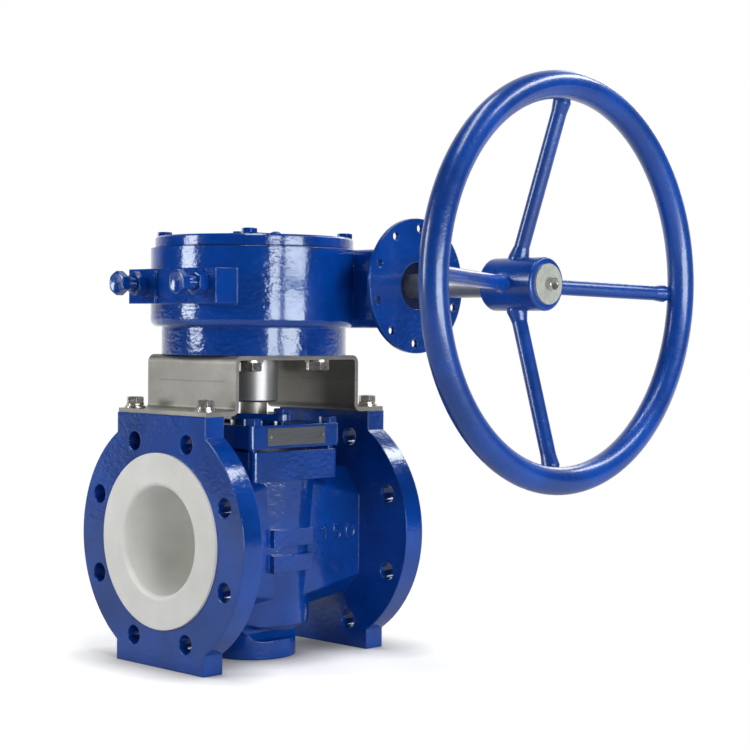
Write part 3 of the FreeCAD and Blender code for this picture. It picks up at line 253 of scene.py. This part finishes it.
def blue_paint(name, wrinkle, depth, low_gloss, high_gloss):
    """Thick gloss enamel over sand-cast iron: wrinkled patches, orange peel and slightly uneven colour."""
    shader = Shader(name)
    patches = shader.span(shader.noise(14, 4), 0.35, 0.65)
    specks = shader.span(shader.noise(900, 2), 0.45, 0.75, 0, SPECK_SHARE)
    tone = shader.blend(patches, colour(2, 56, 138), colour(3, 71, 170))
    tone = shader.blend(specks, tone, colour(34, 84, 168))
    rough_patch = shader.span(shader.noise(17, 2), 0.42, 0.60, 0.25, 1.0)
    wrinkles = shader.noise(wrinkle, 1.4, 0.5, shader.stretched(1, 1, 1.5))
    blotches = shader.maths("MULTIPLY", wrinkles, rough_patch)
    waves = shader.bump(shader.noise(45, 2), 0.8 * MM, 0.25, shader.soft_edge(2.2 * MM))
    cast = shader.bump(blotches, depth, 0.95, waves)
    peel = shader.bump(shader.noise(330, 1), 0.18 * MM, 0.5, cast)
    gloss = shader.spread(shader.noise(120), low_gloss, high_gloss)
    return shader.principled(Base_Color=tone, Roughness=gloss, Normal=peel, Specular_IOR_Level=0.75,
                             Specular_Tint=PAINT_TINT, Coat_Weight=0.45, Coat_Roughness=0.08)


LINER_SCATTER = (0.012, 0.011, 0.009)


def liner():
    """Milky white moulded fluoropolymer, faintly uneven."""
    shader = Shader("liner")
    tone = shader.blend(shader.spread(shader.noise(18)), colour(233, 233, 228), colour(247, 247, 243))
    marks = shader.bump(shader.noise(160, 2), 0.3 * MM, 0.18, shader.soft_edge(1.5 * MM))
    gloss = shader.spread(shader.noise(60, 2), 0.36, 0.48)
    return shader.principled(Base_Color=tone, Roughness=gloss, Normal=marks, Subsurface_Weight=0.1,
                             Subsurface_Radius=LINER_SCATTER, Subsurface_Scale=1.0)


# Middle of the bracket's sheet: each leg's distance from the centre, and the table's height
LEG_MIDDLE = 0.0935
TABLE_MIDDLE = 0.349
BEND_HEIGHT = 0.3225
BEND_STRENGTH = 0.45
# How strong the painted shade on the bracket's inward faces is
INSIDE_SHADE_SHARE = 0.8
CHANGE = 0.4 * MM


def bending_line(shader, height):
    """Share of a thin, broken and slightly uneven line at one height."""
    drift = shader.span(shader.noise(30, 2), 0, 1, -0.6 * MM, 0.6 * MM)
    above = shader.maths("SUBTRACT", shader.maths("ADD", height, drift), BEND_HEIGHT)
    line = shader.span(shader.maths("ABSOLUTE", above), 0.2 * MM, 0.9 * MM, 1, 0)
    broken = shader.span(shader.noise(26), 0.42, 0.55, 0, BEND_STRENGTH)
    return shader.maths("MULTIPLY", line, broken)


def painted_inside_shade(shader, across, along, height):
    """Share of painted shade: on the faces under the table that look inwards, not on the sheet's edges."""
    between = shader.span(shader.maths("ABSOLUTE", across), LEG_MIDDLE - CHANGE, LEG_MIDDLE + CHANGE, 1, 0)
    below = shader.span(height, TABLE_MIDDLE - CHANGE, TABLE_MIDDLE + CHANGE, 1, 0)
    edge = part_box("bracket")[1][1]
    face = shader.span(shader.maths("ABSOLUTE", along), edge - 1.2 * MM, edge - 0.4 * MM, INSIDE_SHADE_SHARE, 0)
    return shader.maths("MULTIPLY", shader.maths("MULTIPLY", between, face), below)


def stainless():
    """Blasted stainless plate: warm, nearly matt, a faint bending line across each leg, painted shade on the
    faces inside.
    """
    shader = Shader("stainless")
    x, y, z = shader.axes()
    cloud = shader.spread(shader.noise(22, 4, 0.6))
    tone = shader.blend(cloud, colour(155, 153, 147), colour(175, 173, 167))
    tone = shader.blend(bending_line(shader, z), tone, colour(96, 92, 84))
    # Painted shade: a darker tone on the faces under the table that look inwards
    inside_shade_tone = shader.blend(cloud, colour(92, 91, 86), colour(112, 110, 104))
    tone = shader.blend(painted_inside_shade(shader, x, y, z), tone, inside_shade_tone)
    grain = shader.bump(shader.noise(1500, 2), 0.15 * MM, 0.35, shader.soft_edge(0.7 * MM))
    gloss = shader.spread(shader.noise(45, 4), 0.40, 0.54)
    return shader.principled(Base_Color=tone, Metallic=0.75, Roughness=gloss, Normal=grain)


def bright_bolt():
    """Plain stainless bolts, brighter than the plate."""
    shader = Shader("bright_bolt")
    tone = shader.blend(shader.spread(shader.noise(160)), colour(178, 174, 166), colour(214, 211, 204))
    scratch = shader.bump(shader.noise(900, 2), 0.1 * MM, 0.4, shader.soft_edge(0.4 * MM))
    gloss = shader.spread(shader.noise(240), 0.2, 0.38)
    return shader.principled(Base_Color=tone, Metallic=1.0, Roughness=gloss, Normal=scratch)


def turned_steel(name, stretch):
    """Turned shafts: very fine rings round the axis that is stretched most."""
    shader = Shader(name)
    rings = shader.noise(1, 2, 0.5, shader.stretched(*stretch))
    tone = shader.blend(shader.spread(rings), colour(160, 161, 161), colour(176, 177, 177))
    lines = shader.bump(rings, 0.05 * MM, 0.10, shader.soft_edge(0.6 * MM))
    gloss = shader.spread(rings, 0.36, 0.42)
    return shader.principled(Base_Color=tone, Metallic=0.75, Roughness=gloss, Normal=lines, Anisotropic=0.3)


def zinc():
    """Zinc plating with a pale green-grey bloom."""
    shader = Shader("zinc")
    cloud = shader.spread(shader.noise(220, 4, 0.6))
    tone = shader.blend(cloud, colour(196, 202, 194), colour(216, 221, 213))
    grain = shader.bump(shader.noise(1400, 2), 0.1 * MM, 0.4, shader.soft_edge(0.4 * MM))
    gloss = shader.spread(shader.noise(300), 0.30, 0.44)
    return shader.principled(Base_Color=tone, Metallic=0.4, Roughness=gloss, Normal=grain)


# Heights between which the stem turns from dull to bright
STEM_DULL = 0.232
STEM_BRIGHT = 0.234


def raw_iron():
    """Machined iron, turned bright where the stem stands above the plug."""
    shader = Shader("raw_iron")
    height = shader.axes()[2]
    cloud = shader.spread(shader.noise(90, 4, 0.6))
    tone = shader.blend(cloud, colour(92, 90, 88), colour(126, 123, 119))
    tone = shader.blend(shader.span(height, STEM_DULL, STEM_BRIGHT), tone, colour(196, 194, 186))
    grain = shader.bump(shader.noise(700), 0.3 * MM, 0.2, shader.soft_edge(0.6 * MM))
    gloss = shader.span(cloud, 0, 1, 0.40, 0.54)
    return shader.principled(Base_Color=tone, Metallic=0.6, Roughness=gloss, Normal=grain)


def packing():
    """Braided packing, woven finer up and down than across."""
    shader = Shader("packing")
    weave = shader.noise(1, 3, 0.5, shader.stretched(500, 500, 1400))
    tone = shader.blend(shader.spread(weave), colour(206, 204, 194), colour(226, 224, 214))
    grain = shader.bump(weave, 0.3 * MM, 0.5)
    return shader.principled(Base_Color=tone, Roughness=shader.spread(weave, 0.5, 0.7), Normal=grain)


def plate():
    """Bare etched aluminium plate with a slight blue cast and rolling lines."""
    shader = Shader("plate")
    lines = shader.noise(1, 3, 0.6, shader.stretched(30, 30, 1800))
    tone = shader.blend(shader.spread(lines), colour(104, 109, 114), colour(134, 139, 144))
    grain = shader.bump(lines, 0.05 * MM, 0.5, shader.soft_edge(0.3 * MM))
    gloss = shader.spread(lines, 0.34, 0.46)
    return shader.principled(Base_Color=tone, Metallic=0.6, Roughness=gloss, Normal=grain)


def clouded(name, clouds, dark, light, grain, depth, gloss, metallic=0.0):
    """A plain surface in soft clouds of two tones and of gloss, with a fine grain."""
    shader = Shader(name)
    cloud = shader.spread(shader.noise(clouds))
    tone = shader.blend(cloud, dark, light)
    fine = shader.bump(shader.noise(grain, 2), depth, 0.4)
    return shader.principled(Base_Color=tone, Metallic=metallic, Roughness=shader.span(cloud, 0, 1, *gloss),
                             Normal=fine)


def make_materials():
    return {
        "paint": blue_paint("blue_paint", 145, 0.65 * MM, 0.12, 0.19),
        "wheel_paint": blue_paint("wheel_paint", 230, 0.3 * MM, 0.26, 0.36),
        "liner": liner(),
        "stainless": stainless(),
        "bright_bolt": bright_bolt(),
        "bright_steel": turned_steel("turned_steel", (14, 14, 2600)),
        "shaft_steel": turned_steel("shaft_steel", (14, 2600, 14)),
        "zinc": zinc(),
        "raw_iron": raw_iron(),
        "bronze": clouded("bronze", 120, colour(168, 122, 62), colour(196, 150, 84), 900, 0.1 * MM,
                          (0.25, 0.4), metallic=1.0),
        "packing": packing(),
        "seal_rubber": clouded("seal_rubber", 200, colour(20, 20, 21), colour(34, 34, 35), 1200, 0.1 * MM,
                               (0.45, 0.62)),
        # Blue overspray on the rubber seals, made much darker than the paint: painted shade of the recess
        # and seam they sit in
        "oversprayed_seal_in_painted_shade": clouded("oversprayed_seal_in_painted_shade", 200, colour(3, 20, 58), colour(6, 30, 84), 500, 0.2 * MM,
                                (0.35, 0.5)),
        "plate": plate(),
    }


# Nodes that look different from the rest of their slot
OWN_LOOK = {
    "handwheel": "wheel_paint", "handwheel_screw": "bright_bolt", "handwheel_spring_washer": "bright_bolt",
    "gland_bolts": "paint", "shaft_seal": "oversprayed_seal_in_painted_shade", "bonnet_diaphragm": "oversprayed_seal_in_painted_shade",
    "worm_shaft": "shaft_steel", "bracket": "stainless",
}


def material_of(node, materials):
    """The material of a node's own look, or else of its slot; small stainless pieces are bright."""
    slot = SLOT_OF[node]
    usual = "bright_bolt" if slot == "stainless" else slot
    return materials[OWN_LOOK.get(node, usual)]


def dress_nodes(materials):
    """Give every carried-over node its material."""
    for name, item in NODES.items():
        item.data.materials.clear()
        item.data.materials.append(material_of(name, materials))


# Reading the frame

CORNER_SHARE = 0.97
END_BAND = 1e-5


def root_of(parent, i):
    while parent[i] != i:
        parent[i] = parent[parent[i]]
        i = parent[i]
    return i


def solids(node):
    """The corner points of each separate solid of a node."""
    mesh = NODES[node].data
    number = {}
    places = [tuple(round(v, 6) for v in corner.co) for corner in mesh.vertices]
    spot = [number.setdefault(place, len(number)) for place in places]
    parent = list(range(len(number)))
    for face in mesh.polygons:
        first, *others = [spot[i] for i in face.vertices]
        for i in others:
            parent[root_of(parent, i)] = root_of(parent, first)
    found = {}
    for point, i in number.items():
        found.setdefault(root_of(parent, i), []).append(point)
    return [np.array(points) for points in found.values()]


class Fastener:
    """Sizes of one bolt or nut, read from its solid, along an axis from the shank to the head."""

    def __init__(self, points, axis):
        self.axis = Vector(axis)
        self.side = Vector((1, 0, 0) if abs(axis[0]) < 0.5 else (0, 1, 0))
        self.other = self.axis.cross(self.side)
        middle = (points.min(0) + points.max(0)) / 2
        self.middle = Vector(middle - (middle @ np.array(axis)) * np.array(axis))
        x = (points - middle) @ np.array(self.side)
        y = (points - middle) @ np.array(self.other)
        radius = np.hypot(x, y)
        corner = radius > radius.max() * CORNER_SHARE
        along = points @ np.array(axis)
        self.corner = radius.max()
        self.turn = math.atan2(y[corner][0], x[corner][0])
        self.top = along.max()
        self.seat = along[corner].min()
        self.end = along.min()
        self.shank = radius[along < self.end + END_BAND].max()

    def point(self, angle, radius, height):
        across = math.cos(angle) * self.side + math.sin(angle) * self.other
        return self.middle + across * radius + self.axis * height


# Meshes from rings of points

SHARP_ANGLE = math.radians(35)


def circle(count):
    """Angles evenly round a circle."""
    return [2 * math.pi * i / count for i in range(count)]


def add_ring(mesh, points):
    return [mesh.verts.new(point) for point in points]


def skin(mesh, rings):
    """Join each ring to the next one, which has as many points."""
    for first, second in zip(rings, rings[1:]):
        for i in range(len(first)):
            j = (i + 1) % len(first)
            mesh.faces.new((first[i], first[j], second[j], second[i]))


def skin_closed(mesh, rings):
    """Join the rings and close both ends."""
    skin(mesh, rings)
    mesh.faces.new(rings[0])
    mesh.faces.new(rings[-1][::-1])


def finish_mesh(mesh, name, body, material):
    bmesh.ops.recalc_face_normals(mesh, faces=mesh.faces)
    data = bpy.data.meshes.new(name)
    mesh.to_mesh(data)
    mesh.free()
    data.shade_smooth()
    data.set_sharp_from_angle(angle=SHARP_ANGLE)
    data.materials.append(material)
    piece = add_object(name, data)
    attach(piece, body)
    return piece


def replace_node(mesh, node, materials):
    """Put a detailed piece in the place of a node, with the node's body and material."""
    piece = finish_mesh(mesh, node + "_detail", BODY_OF[node], material_of(node, materials))
    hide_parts(node)


# Bolts, nuts and spring washers

HEAD_STEPS = 48
FLAT_ANGLE = math.pi / 6
# Shares of the distance from the axis to a flat
CHAMFER_START = 0.96
DISH_RIM = 0.82
DISH_FLOOR = 0.76
CHAMFER_SLOPE = math.tan(math.radians(26))
# Share of the head's height
DISH_DEPTH = 0.05
NUT_CLEARANCE = 1.01

THREAD_STEPS = 30
RINGS_PER_TURN = 6
# Share of the pitch
THREAD_DEPTH = 0.3

# Each bolt's axis towards its head, and its thread's pitch in millimetres
BOLTS = {
    "bonnet_bolts": ((0, 0, 1), 1.75),
    "gland_bolts": ((0, 0, 1), 1.5),
    "bracket_bolts": ((0, 0, 1), 1.75),
    "gearbox_bolts": ((0, 0, -1), 2.0),
    "cover_bolts": ((0, 0, 1), 1.5),
    "end_cap_screws": ((0, 1, 0), 1.25),
    "stop_bolts": ((-1, 0, 0), 2.0),
    "handwheel_screw": ((0, -1, 0), 1.25),
}

SPRING_STEPS = 44
SPRING_GAP = math.radians(9)
SPRING_INNER = 0.62
# Shares of the washer's thickness: half the wire, and how far one end stands above the other
SPRING_WIRE = 0.42
SPRING_LIFT = 0.16


def hexagon_radius(angle, flat):
    """Distance from the axis to the side of a hexagon whose corner lies at angle zero."""
    return flat / math.cos((angle % (2 * FLAT_ANGLE)) - FLAT_ANGLE)


def hexagon_rings(mesh, fastener, ends):
    """Rings of a hexagon at its ends.

    An end is a height, and 1 where its top is chamfered, -1 where its foot is, and 0 for neither.
    """
    flat = fastener.corner * math.cos(FLAT_ANGLE)
    inner = flat * CHAMFER_START
    rings = []
    for height, chamfer in ends:
        full = []
        cap = []
        for angle in circle(HEAD_STEPS):
            radius = hexagon_radius(angle, flat)
            drop = chamfer * max(0.0, radius - inner) * CHAMFER_SLOPE
            full.append(fastener.point(angle + fastener.turn, radius, height - drop))
            cap.append(fastener.point(angle + fastener.turn, inner, height))
        rings += {1: [full, cap], -1: [cap, full], 0: [full]}[chamfer]
    return [add_ring(mesh, ring) for ring in rings]


def round_ring(mesh, fastener, radius, height):
    """A circle with as many points as a head's ring."""
    angles = [angle + fastener.turn for angle in circle(HEAD_STEPS)]
    return add_ring(mesh, [fastener.point(angle, radius, height) for angle in angles])


def thread(mesh, fastener, pitch):
    """The threaded shank, as a rippled cylinder from its end to the head's seat."""
    length = fastener.seat - fastener.end
    count = max(2, int(abs(length) / pitch * RINGS_PER_TURN))
    rings = []
    for i in range(count + 1):
        height = fastener.end + length * i / count
        ring = []
        for angle in circle(THREAD_STEPS):
            phase = (height / pitch - angle / (2 * math.pi)) % 1
            radius = fastener.shank - pitch * THREAD_DEPTH * abs(2 * phase - 1)
            ring.append(fastener.point(angle, radius, height))
        rings.append(add_ring(mesh, ring))
    skin_closed(mesh, rings)


def bolt_mesh(mesh, fastener, pitch):
    """Chamfered head with a shallow dish in its top, and its threaded shank."""
    rings = hexagon_rings(mesh, fastener, [(fastener.seat, 0), (fastener.top, 1)])
    flat = fastener.corner * math.cos(FLAT_ANGLE)
    dish = fastener.top - (fastener.top - fastener.seat) * DISH_DEPTH
    rings.append(round_ring(mesh, fastener, flat * DISH_RIM, fastener.top))
    rings.append(round_ring(mesh, fastener, flat * DISH_FLOOR, dish))
    skin_closed(mesh, rings)
    thread(mesh, fastener, pitch)


def nut_mesh(mesh, fastener, bore):
    """Nut chamfered at both ends, with its bore left open."""
    rings = hexagon_rings(mesh, fastener, [(fastener.seat, -1), (fastener.top, 1)])
    for height in (fastener.top, fastener.seat):
        rings.append(round_ring(mesh, fastener, bore, height))
    skin(mesh, rings + [rings[0]])


def make_bolts(materials):
    for node, (axis, pitch) in BOLTS.items():
        mesh = bmesh.new()
        for points in solids(node):
            bolt_mesh(mesh, Fastener(points, axis), pitch * MM)
        replace_node(mesh, node, materials)


def make_lock_nuts(materials):
    axis = BOLTS["stop_bolts"][0]
    bolt = Fastener(solids("stop_bolts")[0], axis)
    mesh = bmesh.new()
    for points in solids("stop_lock_nuts"):
        nut_mesh(mesh, Fastener(points, axis), bolt.shank * NUT_CLEARANCE)
    replace_node(mesh, "stop_lock_nuts", materials)


def spring_ring(mesh, low, high, axis):
    """A split ring of square wire between two corners of its box, sprung a little along its axis."""
    middle = (low + high) / 2
    flat = [i for i in range(3) if i != axis]
    outer = (high - low)[flat].min() / 2
    inner = outer * SPRING_INNER
    thick = (high - low)[axis]
    wire = ((inner, -SPRING_WIRE), (outer, -SPRING_WIRE), (outer, SPRING_WIRE), (inner, SPRING_WIRE))
    rings = []
    for i in range(SPRING_STEPS + 1):
        angle = SPRING_GAP / 2 + (2 * math.pi - SPRING_GAP) * i / SPRING_STEPS
        lift = (i / SPRING_STEPS - 0.5) * thick * SPRING_LIFT
        corners = []
        for radius, height in wire:
            point = middle.copy()
            point[flat[0]] += radius * math.cos(angle)
            point[flat[1]] += radius * math.sin(angle)
            point[axis] += height * thick + lift
            corners.append(point)
        rings.append(add_ring(mesh, corners))
    skin_closed(mesh, rings)


def make_spring_washers(materials):
    for node, axis in (("bracket_spring_washers", 2), ("handwheel_spring_washer", 1)):
        mesh = bmesh.new()
        for points in solids(node):
            spring_ring(mesh, points.min(0), points.max(0), axis)
        replace_node(mesh, node, materials)


# Cast number on the neck

NUMBER_HEIGHT = 0.0172
NUMBER_PLACE = (0.0757, 0.1425)
STROKE_RADIUS = 0.0019
NECK_SIDE = 0.064


def oval(width, height, count=28):
    return [(width / 2 * math.sin(angle), height / 2 * math.cos(angle)) for angle in circle(count)]


# Place along the line, closed or not, and the stroke's points, in shares of the figures' height
FIGURES = [
    (-1.13, False, [(-0.34, 0.22), (-0.16, 0.32), (0.02, 0.5), (0.02, -0.5)]),
    (-0.02, False, [(0.32, 0.5), (-0.28, 0.5), (-0.33, 0.02), (-0.12, 0.13), (0.1, 0.13), (0.28, 0.03),
                    (0.36, -0.16), (0.3, -0.36), (0.12, -0.48), (-0.12, -0.5), (-0.36, -0.38)]),
    (1.27, True, oval(0.78, 1.0)),
]


def figure_mesh():
    """The figures as round bars, written along X with their tops towards Y."""
    curve = bpy.data.curves.new("cast_number", "CURVE")
    curve.dimensions = "3D"
    curve.bevel_depth = STROKE_RADIUS
    curve.bevel_resolution = 3
    curve.use_fill_caps = True
    for place, closed, points in FIGURES:
        stroke = curve.splines.new("POLY")
        stroke.points.add(len(points) - 1)
        stroke.use_cyclic_u = closed
        for spot, (across, up) in zip(stroke.points, points):
            spot.co = ((place + across) * NUMBER_HEIGHT, up * NUMBER_HEIGHT, 0, 1)
    draft = add_object("number_draft", curve)
    bpy.context.view_layer.update()
    data = bpy.data.meshes.new_from_object(draft.evaluated_get(bpy.context.evaluated_depsgraph_get()))
    bpy.data.objects.remove(draft)
    return data


def make_cast_number(materials):
    """The nominal bore, cast in raised round strokes on the neck's front side."""
    data = figure_mesh()
    x, z = NUMBER_PLACE
    data.transform(Matrix.Translation((x, -NECK_SIDE, z)) @ Matrix.Rotation(math.pi / 2, 4, "X"))
    data.materials.clear()
    data.materials.append(materials["paint"])
    data.shade_smooth()
    number = add_object("cast_number", data)
    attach(number, "valve")


# Stage

FORWARD = (-math.sin(CAMERA_AZIMUTH), math.cos(CAMERA_AZIMUTH), 0)
FLOOR_RADIUS = 14
FLOOR_SIDES = 96
FLOOR_LEVEL = -0.4 * MM
FLOOR_LIFT = 0.42
FLOOR_BOUNCE = 0.42
# Distances from the middle between which the floor turns plain white
FLOOR_FADE = (0.22, 0.55)
# Distances forward of the middle between which reflections of the floor grow bright, and how bright
FLOOR_MIRRORED = (0.2, 1.0, 0.22, 1.0)
# Painted contact shadow on the floor: how far the occlusion reaches, its samples, how steeply it darkens,
# and its darkest and palest grey
CONTACT_REACH = 0.07
CONTACT_SAMPLES = 8
CONTACT_SHADE = 1.5
CONTACT_DARK = 0.25
CONTACT_PALE = 0.95
WORLD_LEVEL = 0.11
STUDIO_LEVEL = 0.02
# How far forward a ray points where the backdrop starts and where it is full
BACKDROP = (0.40, 0.95)


def shaded_floor(shader, seen):
    """The floor near the object: it takes shadows, gets a painted contact shadow where it meets the object
    and is lifted where it is seen.
    """
    # Painted contact shadow: the occlusion darkens both the floor's colour and its lift near the object
    painted_contact_shadow = shader.node("ShaderNodeAmbientOcclusion", samples=CONTACT_SAMPLES)
    painted_contact_shadow.inputs["Distance"].default_value = CONTACT_REACH
    open_share = shader.maths("POWER", painted_contact_shadow.outputs["AO"], CONTACT_SHADE)
    pale = shader.blend(open_share, grey(CONTACT_DARK), grey(CONTACT_PALE))
    matt = shader.node("ShaderNodeBsdfDiffuse")
    shader.feed(matt.inputs["Color"], shader.blend(seen, grey(FLOOR_BOUNCE), pale))
    lift = shader.node("ShaderNodeEmission")
    lifted = shader.maths("MULTIPLY", open_share, FLOOR_LIFT)
    shader.feed(lift.inputs["Strength"], shader.maths("MULTIPLY", seen, lifted))
    both = shader.node("ShaderNodeAddShader")
    shader.feed(both.inputs[0], matt.outputs[0])
    shader.feed(both.inputs[1], lift.outputs[0])
    return both.outputs[0]


def floor_material():
    """Pale near the object and white farther off, to the camera and in reflections; dim to other light."""
    shader = Shader("floor")
    path = shader.node("ShaderNodeLightPath")
    spot = shader.point()
    backdrop = shader.span(shader.measure("DOT_PRODUCT", spot, FORWARD), *FLOOR_MIRRORED)
    mirrored = shader.maths("MULTIPLY", shader.shiny_rays(path), backdrop)
    seen = shader.maths("MAXIMUM", path.outputs["Is Camera Ray"], mirrored)
    far = shader.span(shader.measure("LENGTH", spot), *FLOOR_FADE)
    white = shader.node("ShaderNodeEmission")
    shader.feed(white.inputs["Strength"], seen)
    both = shader.node("ShaderNodeMixShader")
    shader.feed(both.inputs[0], shader.maths("MULTIPLY", far, seen))
    shader.feed(both.inputs[1], shaded_floor(shader, seen))
    shader.feed(both.inputs[2], white.outputs[0])
    return shader.show(both.outputs[0])


def make_floor():
    mesh = bmesh.new()
    bmesh.ops.create_circle(mesh, cap_ends=True, segments=FLOOR_SIDES, radius=FLOOR_RADIUS)
    data = bpy.data.meshes.new("floor")
    mesh.to_mesh(data)
    mesh.free()
    data.materials.append(floor_material())
    floor = add_object("floor", data)
    floor.location = (0, 0, FLOOR_LEVEL)


def make_world():
    """A white backdrop to the camera and to reflections, a dim studio behind the camera."""
    shader = Shader("studio", "World")
    path = shader.node("ShaderNodeLightPath")
    ahead = shader.measure("DOT_PRODUCT", shader.point("Generated"), FORWARD)
    backdrop = shader.span(ahead, *BACKDROP, STUDIO_LEVEL, 1.0)
    level = shader.span(shader.shiny_rays(path), 0, 1, WORLD_LEVEL, backdrop)
    light = shader.node("ShaderNodeBackground")
    light.inputs["Color"].default_value = grey(1)
    shader.feed(light.inputs["Strength"], shader.maths("MAXIMUM", path.outputs["Is Camera Ray"], level))
    bpy.context.scene.world = shader.show(light.outputs[0])


LIGHT_AIM = Vector((0.0, 0.0, 0.33))
# Name, degrees right of the camera, elevation, distance, width, height, radiance
LIGHTS = [
    ("key", 40, 1, 2.4, 1.7, 0.72, 8.8),
    ("strip", -71, 16, 2.0, 0.60, 1.10, 9.4),
    ("fill", 95, 42, 2.4, 2.0, 0.4, 9.0),
    ("top", 0, 80, 2.3, 0.42, 1.9, 7.0),
    ("rim", 150, 25, 2.4, 0.5, 1.2, 3.0),
]


def make_lights():
    for name, side, rise, distance, width, height, radiance in LIGHTS:
        back = towards(CAMERA_AZIMUTH + math.radians(side), math.radians(rise))
        data = bpy.data.lights.new(name, "AREA")
        data.shape = "RECTANGLE"
        data.size = width
        data.size_y = height
        data.energy = radiance * math.pi * width * height
        lamp = add_object(name, data)
        lamp.location = LIGHT_AIM + back * distance
        lamp.rotation_mode = "QUATERNION"
        lamp.rotation_quaternion = back.to_track_quat("Z", "Y")


bpy.context.scene.view_settings.view_transform = "Standard"
MATERIALS = make_materials()
dress_nodes(MATERIALS)
make_bolts(MATERIALS)
make_lock_nuts(MATERIALS)
make_spring_washers(MATERIALS)
make_cast_number(MATERIALS)
make_camera()
make_floor()
make_world()
make_lights()
